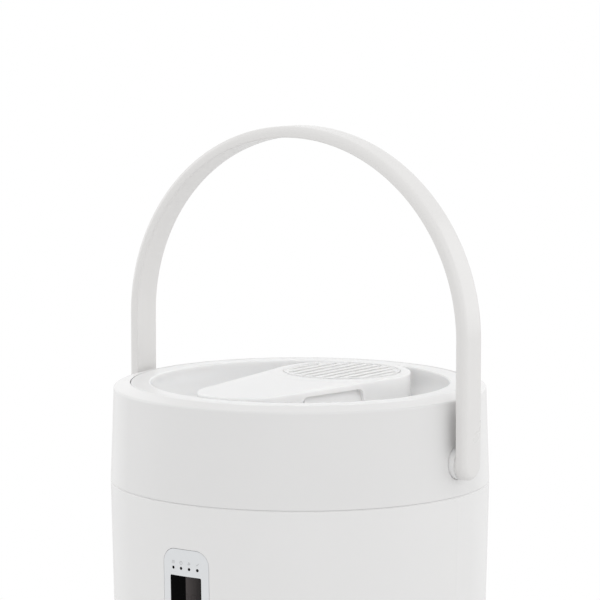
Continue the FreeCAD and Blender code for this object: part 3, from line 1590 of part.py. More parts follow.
# ================================================================ output
def as_solids(made):
    """The solids of a piece, however it was returned."""
    shapes = made if isinstance(made, list) else [made]
    return [solid for shape in shapes for solid in shape.Solids]


def write(name, made):
    """Writes one node's solids to a STEP file and prints what it holds."""
    solids = as_solids(made)
    shape = solids[0] if len(solids) == 1 else Part.makeCompound(solids)
    shape.exportStep(os.path.join("parts", name + ".step"))
    box = shape.BoundBox
    bad = [index for index, solid in enumerate(solids) if not solid.isValid()]
    volume = sum(solid.Volume for solid in solids)
    print(f"{name:20s} solids {len(solids):2d} volume {volume:10.1f} "
          f"z {box.ZMin:7.2f} {box.ZMax:7.2f}", "INVALID" if bad else "")


PIECES = [
    base_tray, body_shell, upper_collar, inner_liner, liner_screws, inner_pot, heater_plate,
    heater_element, heater_posts, temperature_probe, probe_spring, thermal_cutout,
    circulator_motor, motor_bracket, bracket_screws, motor_screws, motor_shaft, drive_rotor,
    drive_magnets, impeller_pin, impeller_retainer, impeller, impeller_magnets, impeller_guard,
    control_panel, display_window, display_module, indicator_lenses, indicator_lamps,
    tact_switches, control_board, board_screws, mains_inlet, inlet_pins, power_board,
    power_board_screws, transformer, relay, capacitor, terminal_block, mains_leads, heater_leads,
    signal_cable, bail_handle, pivot_bushes, pivot_washers, pivot_screws, lid_shell, vent_cap,
    inner_lid, lid_gasket, lid_screws, steam_duct, rubber_feet, base_screws,
]


def main():
    """Builds and writes every node."""
    os.makedirs("parts", exist_ok=True)
    for piece in PIECES:
        write(piece.__name__, piece())
    for name, x, z in button_places():
        write(name, push_button(x, z))


main()
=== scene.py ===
"""Finishes, small pieces and studio for a round water-bath cooker with an arched bail handle.

The packed construction is loaded as a fixed frame. Each sub-assembly is a class that dresses the
nodes it owns and adds the pieces that only the looks need. Lengths are in metres.
"""

import json
import logging
import math
from dataclasses import dataclass
from enum import Enum
from typing import Callable, ClassVar, Iterable, Optional, Sequence, Union

import bmesh
import bpy
from mathutils import Matrix, Vector
from mathutils.bvhtree import BVHTree
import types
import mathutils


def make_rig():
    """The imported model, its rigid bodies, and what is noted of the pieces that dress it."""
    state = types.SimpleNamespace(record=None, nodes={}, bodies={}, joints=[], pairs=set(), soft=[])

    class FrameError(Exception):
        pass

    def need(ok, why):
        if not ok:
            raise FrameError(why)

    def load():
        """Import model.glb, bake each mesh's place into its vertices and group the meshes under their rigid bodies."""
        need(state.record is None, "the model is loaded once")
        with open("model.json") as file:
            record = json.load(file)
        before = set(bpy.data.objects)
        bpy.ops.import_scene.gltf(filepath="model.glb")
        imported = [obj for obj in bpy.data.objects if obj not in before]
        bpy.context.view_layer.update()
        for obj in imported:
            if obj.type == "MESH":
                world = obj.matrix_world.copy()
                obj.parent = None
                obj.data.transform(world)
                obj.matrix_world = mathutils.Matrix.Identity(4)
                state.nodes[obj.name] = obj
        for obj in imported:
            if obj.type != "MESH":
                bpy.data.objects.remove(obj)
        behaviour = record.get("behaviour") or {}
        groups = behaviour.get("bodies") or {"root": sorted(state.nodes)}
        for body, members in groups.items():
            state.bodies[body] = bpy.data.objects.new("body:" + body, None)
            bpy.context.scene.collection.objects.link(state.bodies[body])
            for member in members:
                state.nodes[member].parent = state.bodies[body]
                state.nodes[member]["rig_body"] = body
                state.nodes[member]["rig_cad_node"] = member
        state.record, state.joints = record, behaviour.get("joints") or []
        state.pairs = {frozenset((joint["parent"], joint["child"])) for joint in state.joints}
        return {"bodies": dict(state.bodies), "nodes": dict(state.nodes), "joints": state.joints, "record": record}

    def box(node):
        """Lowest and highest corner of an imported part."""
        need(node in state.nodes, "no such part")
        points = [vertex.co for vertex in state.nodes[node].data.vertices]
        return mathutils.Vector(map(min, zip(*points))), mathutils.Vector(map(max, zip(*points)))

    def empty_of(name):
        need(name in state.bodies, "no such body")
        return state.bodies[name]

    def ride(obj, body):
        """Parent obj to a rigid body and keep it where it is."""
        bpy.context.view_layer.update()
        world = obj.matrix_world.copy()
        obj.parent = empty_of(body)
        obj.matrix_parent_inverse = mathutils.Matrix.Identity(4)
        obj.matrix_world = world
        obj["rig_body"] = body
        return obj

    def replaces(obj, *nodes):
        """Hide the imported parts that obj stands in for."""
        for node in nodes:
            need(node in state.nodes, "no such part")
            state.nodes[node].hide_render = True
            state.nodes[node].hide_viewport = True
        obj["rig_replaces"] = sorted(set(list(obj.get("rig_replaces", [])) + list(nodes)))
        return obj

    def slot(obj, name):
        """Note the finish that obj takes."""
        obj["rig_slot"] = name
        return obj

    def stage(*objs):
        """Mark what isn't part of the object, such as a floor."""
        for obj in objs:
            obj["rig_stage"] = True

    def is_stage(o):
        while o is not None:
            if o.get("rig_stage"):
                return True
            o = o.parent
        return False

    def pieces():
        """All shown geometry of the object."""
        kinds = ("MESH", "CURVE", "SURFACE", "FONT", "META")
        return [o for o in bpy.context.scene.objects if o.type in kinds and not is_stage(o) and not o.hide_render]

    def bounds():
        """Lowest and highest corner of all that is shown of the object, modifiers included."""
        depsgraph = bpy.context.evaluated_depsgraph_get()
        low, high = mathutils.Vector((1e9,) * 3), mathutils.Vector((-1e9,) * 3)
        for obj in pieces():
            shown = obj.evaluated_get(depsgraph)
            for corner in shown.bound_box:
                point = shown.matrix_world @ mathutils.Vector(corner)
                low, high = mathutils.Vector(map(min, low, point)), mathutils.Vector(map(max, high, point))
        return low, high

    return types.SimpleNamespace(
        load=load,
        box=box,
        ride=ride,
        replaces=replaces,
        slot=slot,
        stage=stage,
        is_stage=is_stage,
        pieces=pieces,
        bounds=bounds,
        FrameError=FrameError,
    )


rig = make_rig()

LOG = logging.getLogger("cooker")
MM = 0.001
SHARP_ANGLE = 35.0  # degrees; edges that turn by more stay sharp
SAME_POINT = 1e-6  # metres; points of a drawn outline nearer than this are one
NO_LENGTH = 1e-7  # metres; the same for a finished piece
ON_AXIS = 1e-9  # metres; a smaller radius is a pole
MIX_FACTOR, MIX_FIRST, MIX_SECOND, MIX_RESULT = 0, 6, 7, 2  # the colour sockets of a Mix node
Colour = tuple[float, float, float]
Outline = list[tuple[float, float]]


# ------------------------------------------------------------------------------ node maths
def maths(operation: str, summary: str, reflected: bool = False) -> "Callable[..., Wire]":
    """A method of Wire that adds one Math node.

    Args:
        operation: the node's operation.
        summary: the method's docstring.
        reflected: whether the wire comes after the other value.

    Returns:
        The method.
    """
    def method(self: "Wire", *others: "Value") -> "Wire":
        """Adds the node on these values."""
        values = (*others, self) if reflected else (self, *others)
        return self.graph.add("ShaderNodeMath", {"operation": operation}, dict(enumerate(values)))

    method.__doc__ = summary
    return method


class Wire:
    """A node output that does arithmetic by adding Math nodes."""

    def __init__(self, graph: "Nodes", socket: bpy.types.NodeSocket) -> None:
        """Args:
            graph: the node graph that the output belongs to.
            socket: the output itself.
        """
        self.graph = graph
        self.socket = socket

    __add__ = maths("ADD", "Sum.")
    __radd__ = maths("ADD", "Sum with the wire on the right.", True)
    __sub__ = maths("SUBTRACT", "Difference.")
    __rsub__ = maths("SUBTRACT", "Difference with the wire on the right.", True)
    __mul__ = maths("MULTIPLY", "Product.")
    __rmul__ = maths("MULTIPLY", "Product with the wire on the right.", True)
    __truediv__ = maths("DIVIDE", "Quotient.")
    __rtruediv__ = maths("DIVIDE", "Quotient with the wire on the right.", True)
    __pow__ = maths("POWER", "Power.")
    root = maths("SQRT", "Square root.")
    above = maths("GREATER_THAN", "1 where this is over the other value, else 0.")
    below = maths("LESS_THAN", "1 where this is under the other value, else 0.")
    fraction = maths("FRACT", "The part after the decimal point.")
    size = maths("ABSOLUTE", "The value without its sign.")
    greater = maths("MAXIMUM", "The larger of the two.")
    angle = maths("ARCTAN2", "Angle of the point (other, self) about the origin, in radians.")


Value = Union[Wire, float, int, Sequence[float]]


class Nodes:
    """A node tree, and the one way in which nodes are added to it."""

    def __init__(self, tree: bpy.types.NodeTree) -> None:
        """Args:
            tree: the tree, which is emptied.
        """
        self.tree = tree
        self.tree.nodes.clear()

    def add(self, kind: str, settings: Optional[dict] = None,
            values: Optional[dict] = None, output: Union[int, str] = 0) -> Wire:
        """Adds one node.

        Args:
            kind: the node's type.
            settings: properties that are set first.
            values: constants or wires, by input name or number.
            output: which output to return.

        Returns:
            The chosen output as a wire.
        """
        node = self.tree.nodes.new(kind)
        for key, value in (settings or {}).items():
            setattr(node, key, value)
        for key, value in (values or {}).items():
            self.feed(node.inputs[key], value)
        return Wire(self, node.outputs[output])

    def feed(self, socket: bpy.types.NodeSocket, value: Value) -> None:
        """Links a wire to a socket, or sets its constant.

        Args:
            socket: the socket.
            value: a wire or a constant.
        """
        if isinstance(value, Wire):
            self.tree.links.new(value.socket, socket)
        else:
            socket.default_value = value

    def axes(self, where: Wire) -> tuple[Wire, Wire, Wire]:
        """The three parts of a vector."""
        node = self.add("ShaderNodeSeparateXYZ", {}, {0: where}).socket.node
        return tuple(Wire(self, output) for output in node.outputs)

    def vector(self, x: Value, y: Value, z: Value) -> Wire:
        """A vector of three parts."""
        return self.add("ShaderNodeCombineXYZ", {}, {0: x, 1: y, 2: z})

    def length(self, x: Value, y: Value) -> Wire:
        """Length of a flat vector."""
        return self.add("ShaderNodeVectorMath", {"operation": "LENGTH"},
                        {0: self.vector(x, y, 0.0)}, "Value")


class Graph(Nodes):
    """A material's node tree around one Principled BSDF."""

    def __init__(self, name: str) -> None:
        """Args:
            name: the material's name.
        """
        self.material = bpy.data.materials.new(name)
        self.material.use_nodes = True
        super().__init__(self.material.node_tree)
        self.output = self.tree.nodes.new("ShaderNodeOutputMaterial")
        self.surface = self.tree.nodes.new("ShaderNodeBsdfPrincipled")
        self.tree.links.new(self.surface.outputs[0], self.output.inputs["Surface"])

    def constants(self, **values: Value) -> None:
        """Sets constants on the shader, with underscores for the spaces in a socket's name."""
        for key, value in values.items():
            self.surface.inputs[key.replace("_", " ")].default_value = value

    def place(self, stretch: Sequence[float] = (1, 1, 1),
              shift: Sequence[float] = (0, 0, 0)) -> Wire:
        """Position on the object, stretched and shifted, in metres."""
        where = self.add("ShaderNodeTexCoord", output="Object")
        return self.add("ShaderNodeMapping", {}, {"Vector": where, "Scale": stretch,
                                                  "Location": shift})

    def noise(self, where: Wire, scale: float, detail: float = 2.0,
              roughness: float = 0.5) -> Wire:
        """Smooth noise from 0 to 1."""
        return self.add("ShaderNodeTexNoise", {}, {
            "Vector": where, "Scale": scale, "Detail": detail, "Roughness": roughness})

    def cells(self, where: Wire, scale: float) -> Wire:
        """Distance to the nearest cell centre."""
        return self.add("ShaderNodeTexVoronoi", {}, {"Vector": where, "Scale": scale},
                        "Distance")

    def span(self, value: Wire, low: float, high: float,
             to_low: float = 0.0, to_high: float = 1.0) -> Wire:
        """A value moved from one range to another and kept inside it."""
        return self.add("ShaderNodeMapRange", {"clamp": True}, {
            "Value": value, "From Min": low, "From Max": high,
            "To Min": to_low, "To Max": to_high})

    def blend(self, factor: Value, first: Value, second: Value) -> Wire:
        """Mix of two colours."""
        first, second = (value if isinstance(value, Wire) else (*value[:3], 1.0)
                         for value in (first, second))
        return self.add("ShaderNodeMix", {"data_type": "RGBA"},
                        {MIX_FACTOR: factor, MIX_FIRST: first, MIX_SECOND: second}, MIX_RESULT)

    def bump(self, height: Wire, distance: float, strength: float = 1.0,
             under: Optional[Wire] = None) -> Wire:
        """Normal from a height map; distance is the height of 1, in metres.

        Args:
            height: the map.
            distance: the height of 1, in metres.
            strength: share of the bump that is used.
            under: a normal that this one is laid on.

        Returns:
            The normal.
        """
        values = {"Height": height, "Distance": distance, "Strength": strength}
        if under is not None:
            values["Normal"] = under
        return self.add("ShaderNodeBump", {}, values)

    def finish(self, colour: Value, roughness: Value, normal: Optional[Wire] = None,
               metallic: Value = 0.0) -> bpy.types.Material:
        """Connects the main sockets.

        Args:
            colour: base colour.
            roughness: roughness.
            normal: a bump node's output.
            metallic: metallic share.

        Returns:
            The finished material.
        """
        if not isinstance(colour, Wire):
            colour = (*colour[:3], 1.0)
        self.feed(self.surface.inputs["Base Color"], colour)
        self.feed(self.surface.inputs["Roughness"], roughness)
        self.feed(self.surface.inputs["Metallic"], metallic)
        if normal is not None:
            self.feed(self.surface.inputs["Normal"], normal)
        return self.material


def grey(level: float, warmth: float = 0.0) -> Colour:
    """A nearly neutral colour; warmth moves it from blue towards yellow."""
    return (level * (1 + warmth), level, level * (1 - warmth))


def scaled(colour: Colour, factor: float) -> Colour:
    """A colour made lighter or darker."""
    return tuple(min(1.0, part * factor) for part in colour)


# ------------------------------------------------------------------------------ finishes
class Grain(Enum):
    """Which way a brushed metal's scratches run."""

    ROUND = "round"
    LEVEL = "level"


class Finish:
    """What every finish shares: it draws itself into a new material."""

    def material(self, name: str) -> bpy.types.Material:
        """Builds the material."""
        graph = Graph(name)
        return self.draw(graph, graph.place())

    def draw(self, graph: Graph, where: Wire) -> bpy.types.Material:
        """Adds the finish's nodes.

        Args:
            graph: the material's tree, with no more than its shader in it.
            where: position on the object.

        Returns:
            The finished material.
        """
        raise NotImplementedError


@dataclass(frozen=True)
class MouldedPlastic(Finish):
    """Injection-moulded plastic with a fine spark-eroded skin and faint flow clouds.

    Attributes:
        colour: base colour.
        roughness: middle roughness.
        skin: height of the fine texture.
        pitch: size of the fine texture's dimples.
        clouds: share by which the colour drifts.
        coat: gloss coat weight.
        scatter: share of light that spreads inside the plastic.
        outline: share by which the colour lightens where the face turns away.
        turning: how far a face has turned away where the outline starts and is full.
        scatter_reach: how far light spreads inside the plastic.
    """

    colour: Colour
    roughness: float = 0.34
    skin: float = 0.012 * MM
    pitch: float = 0.5 * MM
    clouds: float = 0.012
    coat: float = 0.3
    scatter: float = 0.0
    outline: float = 0.0
    turning: tuple[float, float] = (0.6, 0.82)
    scatter_reach: float = 6 * MM

    def draw(self, graph: Graph, where: Wire) -> bpy.types.Material:
        """Drifting colour, scuffs, fine dimples and a slow swell."""
        drift = graph.noise(where, 14.0, 3.0)
        scuffs = graph.span(graph.noise(where, 90.0, 6.0, 0.65), 0.45, 0.75)
        colour = graph.blend(graph.span(drift, 0.3, 0.7), scaled(self.colour, 1 - self.clouds),
                             self.colour)
        # painted highlight: the colour is lightened where the face turns from the view, in place of a sheen
        if self.outline:
            facing = graph.add("ShaderNodeLayerWeight", {}, {"Blend": 0.5}, "Facing")
            colour = graph.blend(graph.span(facing, *self.turning), colour,
                                 scaled(self.colour, 1 + self.outline))
        dimples = graph.noise(where, 1 / self.pitch, 2.0)
        ripple = graph.noise(where, 22.0, 1.0)
        swell = graph.bump(ripple, 0.02 * MM)
        normal = graph.bump(dimples, self.skin, under=swell)
        roughness = scuffs * 0.03 + drift * 0.04 + (self.roughness - 0.04)
        graph.constants(Coat_Weight=self.coat, Coat_Roughness=0.12, IOR=1.49,
                        Subsurface_Weight=self.scatter, Subsurface_Scale=self.scatter_reach,
                        Subsurface_Radius=(1.0, 0.95, 0.9))
        return graph.finish(colour, roughness, normal)


@dataclass(frozen=True)
class PolishedPlastic(Finish):
    """Mirror-moulded plastic or a hard-coated window, with faint dust and wiping marks.

    Attributes:
        colour: base colour.
        roughness: roughness where it is clean.
        marks: extra roughness in the wiping marks.
        dust: share of pale dust.
        gloss: level of the mirror reflection, 0.5 for plain plastic.
    """

    colour: Colour
    roughness: float = 0.08
    marks: float = 0.06
    dust: float = 0.0
    gloss: float = 0.5

    def draw(self, graph: Graph, where: Wire) -> bpy.types.Material:
        """Wiping marks in the gloss, and specks of dust."""
        wiping = graph.noise(graph.place((1, 1, 0.25), (0.1, 0, 0.2)), 160.0, 5.0, 0.6)
        specks = graph.cells(where, 900.0).below(0.12)
        colour = graph.blend(specks * self.dust, self.colour, grey(0.5))
        ripple = graph.noise(where, 60.0, 1.0)
        normal = graph.bump(ripple, 0.004 * MM)
        graph.constants(IOR=1.5, Specular_IOR_Level=self.gloss)
        return graph.finish(colour, graph.span(wiping, 0.4, 0.8, self.roughness,
                                               self.roughness + self.marks), normal)


@dataclass(frozen=True)
class SmokedWindow(Finish):
    """Dark display window whose clear half lets the pale filter behind it show through.

    Attributes:
        colour: the dark half.
        filter_near: the filter's colour beside the dark half.
        filter_far: the filter's colour at the window's edge.
        split: X of the line between the halves.
        blur: half the width of that line.
        wander: how far the weave of the filter moves its fade.
        reach: X of the window's edge.
    """

    colour: Colour
    painted_reflection_near: Colour
    painted_reflection_far: Colour
    split: float = 0.4 * MM
    blur: float = 0.2 * MM
    wander: float = 2 * MM
    reach: float = 11.0 * MM

    def draw(self, graph: Graph, where: Wire) -> bpy.types.Material:
        """A dark half and a clear half with the filter showing."""
        x, _, _ = graph.axes(where)
        streaks = graph.noise(graph.place((1, 1, 0.1)), 900.0, 2.0)
        fade = graph.span(x + streaks * self.wander, self.split + self.wander / 2,
                          self.reach + self.wander / 2)
        # painted reflection: paler colours that fade towards the edge stand in for the window's gloss
        clear = graph.blend(fade, self.painted_reflection_near, self.painted_reflection_far)
        specks = graph.cells(where, 900.0).below(0.1)
        half = graph.span(x, self.split - self.blur, self.split + self.blur)
        colour = graph.blend(specks * 0.02, graph.blend(half, self.colour, clear), grey(0.5))
        # the real mirror reflection is kept faint under the painted one
        graph.constants(Specular_IOR_Level=0.03)
        return graph.finish(colour, streaks * 0.04 + 0.06, graph.bump(streaks, 0.002 * MM))


@dataclass(frozen=True)
class BrushedMetal(Finish):
    """Sheet or turned metal with fine scratches that run one way.

    Attributes:
        colour: base colour.
        grain: which way the scratches run.
        roughness: middle roughness.
        pitch: width of a scratch.
        depth: depth of a scratch.
        stain: share of faint darker stains.
        stretch: how much level scratches are drawn out.
        bend: how far round scratches differ over one radian.
    """

    colour: Colour
    grain: Grain = Grain.ROUND
    roughness: float = 0.28
    pitch: float = 0.35 * MM
    depth: float = 0.006 * MM
    stain: float = 0.12
    stretch: float = 0.02
    bend: float = 2 * MM

    def draw(self, graph: Graph, where: Wire) -> bpy.types.Material:
        """Scratches as noise drawn out along the grain."""
        x, y, z = graph.axes(where)
        if self.grain is Grain.ROUND:
            lines = graph.vector(graph.length(x, y), y.angle(x) * self.bend, z)
        else:
            lines = graph.vector(x * self.stretch, y * self.stretch, z)
        scratch = graph.noise(lines, 1 / self.pitch, 3.0, 0.6)
        broad = graph.noise(where, 40.0, 4.0)
        stain = graph.span(broad, 0.5, 0.8, 0.0, self.stain)
        colour = graph.blend(stain, self.colour, scaled(self.colour, 0.6))
        normal = graph.bump(scratch, self.depth)
        graph.constants(Anisotropic=0.35)
        return graph.finish(colour, graph.span(scratch, 0.2, 0.8, self.roughness - 0.07,
                                               self.roughness + 0.1), normal, 1.0)


@dataclass(frozen=True)
class CastMetal(Finish):
    """Sand- or die-cast metal with a pebbled skin and darker hollows.

    Attributes:
        colour: base colour.
        roughness: middle roughness.
        pitch: size of the pebbles.
        depth: height of the pebbles.
    """

    colour: Colour
    roughness: float = 0.45
    pitch: float = 0.9 * MM
    depth: float = 0.05 * MM

    def draw(self, graph: Graph, where: Wire) -> bpy.types.Material:
        """Pebbles, and darker patches."""
        pebbles = graph.cells(where, 1 / self.pitch)
        stain = graph.noise(where, 55.0, 4.0)
        colour = graph.blend(graph.span(stain, 0.35, 0.75), self.colour,
                             scaled(self.colour, 0.72))
        return graph.finish(colour, stain * 0.15 + self.roughness,
                            graph.bump(pebbles, self.depth), 0.9)


@dataclass(frozen=True)
class Plating(Finish):
    """Bright zinc or nickel plating with a slight colour cast and handling marks.

    Attributes:
        colour: base colour.
        cast: colour that the plating drifts to.
        roughness: middle roughness.
    """

    colour: Colour
    cast: Colour
    roughness: float = 0.22

    def draw(self, graph: Graph, where: Wire) -> bpy.types.Material:
        """A drifting cast and handling marks."""
        drift = graph.noise(where, 260.0, 3.0)
        marks = graph.noise(graph.place((1, 1, 4)), 1500.0, 2.0)
        colour = graph.blend(graph.span(drift, 0.4, 0.7), self.colour, self.cast)
        return graph.finish(colour, marks * 0.16 + self.roughness,
                            graph.bump(marks, 0.004 * MM), 1.0)


@dataclass(frozen=True)
class SoftRubber(Finish):
    """Moulded rubber or silicone with a powdery skin.

    Attributes:
        colour: base colour.
        roughness: middle roughness.
        bloom: share of pale bloom.
        glow: share of light that passes into the material.
    """

    colour: Colour
    roughness: float = 0.7
    bloom: float = 0.1
    glow: float = 0.0

    def draw(self, graph: Graph, where: Wire) -> bpy.types.Material:
        """A powdery skin with pale bloom."""
        skin = graph.noise(where, 2600.0, 2.0)
        bloom = graph.span(graph.noise(where, 120.0, 5.0), 0.5, 0.75, 0.0, self.bloom)
        graph.constants(Subsurface_Weight=self.glow, Subsurface_Scale=1.5 * MM)
        return graph.finish(graph.blend(bloom, self.colour, grey(0.6)),
                            skin * 0.12 + self.roughness, graph.bump(skin, 0.02 * MM))


@dataclass(frozen=True)
class CircuitBoard(Finish):
    """Solder mask with copper tracks and plated pads on a square grid.

    Attributes:
        mask: colour of the bare mask.
        track: colour of the mask over copper.
        pad: colour of a plated pad.
        pitch: distance between tracks.
        across: whether the board stands upright, facing along Y.
        track_half: half a track's width, as a share of the pitch.
        pad_radius: a pad's radius, as a share of the pitch.
    """

    mask: Colour
    track: Colour
    pad: Colour
    pitch: float = 2.54 * MM
    across: bool = False
    track_half: float = 0.14
    pad_radius: float = 0.3

    def draw(self, graph: Graph, where: Wire) -> bpy.types.Material:
        """Tracks, crossings and pads on the grid."""
        x, y, z = graph.axes(where)
        other = z if self.across else y
        column = (x / self.pitch).fraction() - 0.5
        row = (other / self.pitch).fraction() - 0.5
        pick = graph.noise(where, 180.0, 0.0)
        tracks = column.size().below(self.track_half) * pick.above(0.5)
        crossing = row.size().below(self.track_half) * pick.below(0.5)
        pads = (graph.length(column, row).below(self.pad_radius)
                * graph.noise(where, 260.0, 0.0).above(0.56))
        copper = tracks.greater(crossing)
        colour = graph.blend(pads, graph.blend(copper, self.mask, self.track), self.pad)
        normal = graph.bump(copper.greater(pads), 0.035 * MM)
        return graph.finish(colour, 0.34 - pads * 0.1, normal, pads * 0.9)


@dataclass(frozen=True)
class WoundTape(Finish):
    """Layers of tape round a winding.

    Attributes:
        colour: base colour.
        pitch: width of a layer.
        edge: width of a layer's edge, as a share of the pitch.
    """

    colour: Colour
    pitch: float = 1.6 * MM
    edge: float = 0.12

    def draw(self, graph: Graph, where: Wire) -> bpy.types.Material:
        """Layer edges and creases."""
        _, _, z = graph.axes(where)
        layer = (z / self.pitch).fraction()
        edge = layer.below(self.edge)
        crease = graph.noise(where, 500.0, 3.0)
        colour = graph.blend(edge, self.colour, scaled(self.colour, 0.6))
        return graph.finish(colour, crease * 0.2 + 0.35,
                            graph.bump(crease + edge * -1.0, 0.05 * MM))


@dataclass(frozen=True)
class Print(Finish):
    """Thin ink on a moulded face.

    Attributes:
        colour: the ink's colour.
        roughness: roughness of the ink.
        gloss: level of the mirror reflection.
    """

    colour: Colour
    roughness: float = 0.45
    gloss: float = 0.5

    def draw(self, graph: Graph, where: Wire) -> bpy.types.Material:
        """Ink that covers a little unevenly."""
        graph.constants(Specular_IOR_Level=self.gloss)
        cover = graph.noise(where, 4000.0, 2.0)
        colour = graph.blend(graph.span(cover, 0.3, 0.7), self.colour,
                             scaled(self.colour, 1.12))
        return graph.finish(colour, cover * 0.1 + self.roughness,
                            graph.bump(cover, 0.004 * MM))


FINISHES = {
    # outline is a painted highlight along each silhouette
    "casing_white": MouldedPlastic(grey(0.815, 0.004), outline=0.06),
    # painted shade: the collar's white is set darker than the casing's to dim its lit bevel
    "collar_white": MouldedPlastic(grey(0.782, 0.004), outline=0.14),
    # painted light: the lid's white is set lighter than the casing's to lift its shaded dish and tongue
    "lid_white": MouldedPlastic(grey(0.885, 0.004), 0.32, scatter=0.5),
    "handle_white": MouldedPlastic(grey(0.768, 0.012), 0.30, skin=0.003 * MM),
    "bush_white": MouldedPlastic(grey(0.85, 0.01), 0.36, scatter=0.4),
    "panel_white": PolishedPlastic((0.77, 0.785, 0.80), 0.12),
    "button_grey": MouldedPlastic((0.60, 0.615, 0.63), 0.30, coat=0.15),
    # the window's two paler colours are a painted reflection
    "window_black": SmokedWindow(grey(0.0008), (0.078, 0.069, 0.068), (0.024, 0.022, 0.022)),
    "lens_black": PolishedPlastic(grey(0.001), 0.1, gloss=0.05),
    "steel_round": BrushedMetal(grey(0.62, 0.008), Grain.ROUND),
    "steel_upright": BrushedMetal(grey(0.60, 0.008), Grain.LEVEL),
    "screw_steel": Plating(grey(0.60), (0.62, 0.60, 0.50)),
    "magnet_nickel": Plating((0.66, 0.63, 0.58), grey(0.70), 0.14),
    "cast_aluminium": CastMetal(grey(0.56)),
    "element_metal": BrushedMetal(grey(0.16, 0.03), Grain.ROUND, 0.45, stain=0.4),
    "motor_metal": MouldedPlastic(grey(0.10), 0.4, coat=0.2),
    "rotor_black": MouldedPlastic(grey(0.025), 0.45),
    "impeller_grey": MouldedPlastic((0.26, 0.28, 0.30), 0.4),
    "board_green": CircuitBoard((0.010, 0.085, 0.035), (0.02, 0.16, 0.06), (0.75, 0.68, 0.45)),
    "board_upright": CircuitBoard((0.010, 0.085, 0.035), (0.02, 0.16, 0.06),
                                  (0.75, 0.68, 0.45), across=True),
    "component_black": MouldedPlastic(grey(0.02), 0.42),
    "component_blue": MouldedPlastic((0.02, 0.06, 0.22), 0.4),
    "transformer_yellow": WoundTape((0.62, 0.42, 0.08)),
    "terminal_grey": MouldedPlastic(grey(0.45), 0.5),
    "contact_brass": Plating((0.72, 0.52, 0.22), (0.55, 0.38, 0.15), 0.2),
    "lead_insulation": SoftRubber((0.30, 0.03, 0.02), 0.5),
    "cable_grey": SoftRubber(grey(0.30), 0.5),
    "foot_rubber": SoftRubber(grey(0.035)),
    "gasket_silicone": SoftRubber(grey(0.66), 0.45, glow=0.3),
    "screen_cloth": MouldedPlastic((0.62, 0.585, 0.54), 0.5, coat=0.0),
    "ink_grey": Print(grey(0.34)),
    "ink_faint": Print(grey(0.36)),
    # the unlit digits carry the window's painted reflection, a little darker
    "ghost_segments": SmokedWindow(grey(0.0012), (0.068, 0.060, 0.059),
                                   (0.021, 0.019, 0.019)),
}
NODE_FINISHES = {
    "upper_collar": "collar_white",
    "motor_shaft": "steel_round", "impeller_pin": "steel_round",
    "impeller_retainer": "steel_round", "impeller_guard": "steel_round",
    "inner_liner": "steel_upright", "inner_pot": "steel_upright", "inner_lid": "steel_round",
    "control_board": "board_upright",
}


class Palette:
    """Makes each finish once and hands it out by name."""

    def __init__(self) -> None:
        """Starts with nothing made."""
        self.made: dict[str, bpy.types.Material] = {}

    def get(self, name: str) -> bpy.types.Material:
        """The material of a finish, made when it is first asked for."""
        if name not in self.made:
            self.made[name] = FINISHES[name].material(name)
        return self.made[name]


# ------------------------------------------------------------------------------ mesh making
def smooth_by_angle(mesh: bpy.types.Mesh, angle: float = SHARP_ANGLE) -> None:
    """Shades a mesh smooth, with sharp edges where faces meet at more than an angle.

    Args:
        mesh: the mesh.
        angle: the angle, in degrees.
    """
    bm = bmesh.new()
    bm.from_mesh(mesh)
    for face in bm.faces:
        face.smooth = True
    for edge in bm.edges:
        if len(edge.link_faces) == 2:
            edge.smooth = edge.calc_face_angle(0.0) < math.radians(angle)
    bm.to_mesh(mesh)
    bm.free()


def linked(name: str, data: bpy.types.ID) -> bpy.types.Object:
    """A new object in the scene.

    Args:
        name: its name.
        data: its mesh, camera or light.

    Returns:
        The object.
    """
    item = bpy.data.objects.new(name, data)
    bpy.context.scene.collection.objects.link(item)
    return item


def new_piece(name: str, bm: bmesh.types.BMesh, material: bpy.types.Material,
              angle: float = SHARP_ANGLE) -> bpy.types.Object:
    """Turns a bmesh into a linked object with one material.

    Args:
        name: the piece's name.
        bm: its geometry, which is freed.
        material: its finish.
        angle: edges that turn by more than this stay sharp.

    Returns:
        The object.
    """
    bmesh.ops.remove_doubles(bm, verts=bm.verts, dist=NO_LENGTH)
    bmesh.ops.recalc_face_normals(bm, faces=bm.faces)
    mesh = bpy.data.meshes.new(name)
    bm.to_mesh(mesh)
    bm.free()
    mesh.materials.append(material)
    smooth_by_angle(mesh, angle)
    return linked(name, mesh)


def block(name: str, size: Sequence[float], rounding: float, segments: int,
          material: bpy.types.Material) -> bpy.types.Object:
    """A block about the origin with rounded edges.

    Args:
        name: the piece's name.
        size: its three sides.
        rounding: how far its edges are cut back.
        segments: faces across each edge.
        material: its finish.

    Returns:
        The object.
    """
    bm = bmesh.new()
    bmesh.ops.create_cube(bm, size=1.0, matrix=Matrix.Diagonal((*size, 1.0)))
    bmesh.ops.bevel(bm, geom=bm.edges[:], offset=rounding, segments=segments, affect="EDGES")
    return new_piece(name, bm, material)


def lathe(bm: bmesh.types.BMesh, profile: Outline, segments: int,
          centre: Vector = Vector(), matrix: Matrix = Matrix.Identity(4)) -> None:
    """Adds a surface of revolution about Z.

    Args:
        bm: where it goes.
        profile: (radius, height) points from one pole or rim to the other.
        segments: how many steps go round.
        centre: where the axis stands.
        matrix: turns the whole about its centre.
    """
    rings = []
    for radius, height in profile:
        if radius < ON_AXIS:
            rings.append([bm.verts.new(matrix @ Vector((0, 0, height)) + centre)])
            continue
        ring = []
        for step in range(segments):
            turn = 2 * math.pi * step / segments
            point = Vector((radius * math.cos(turn), radius * math.sin(turn), height))
            ring.append(bm.verts.new(matrix @ point + centre))
        rings.append(ring)
    for low, high in zip(rings, rings[1:]):
        for step in range(segments):
            after = (step + 1) % segments
            corners = [low[step % len(low)], low[after % len(low)],
                       high[after % len(high)], high[step % len(high)]]
            unique = list(dict.fromkeys(corners))
            if len(unique) > 2:
                bm.faces.new(unique)


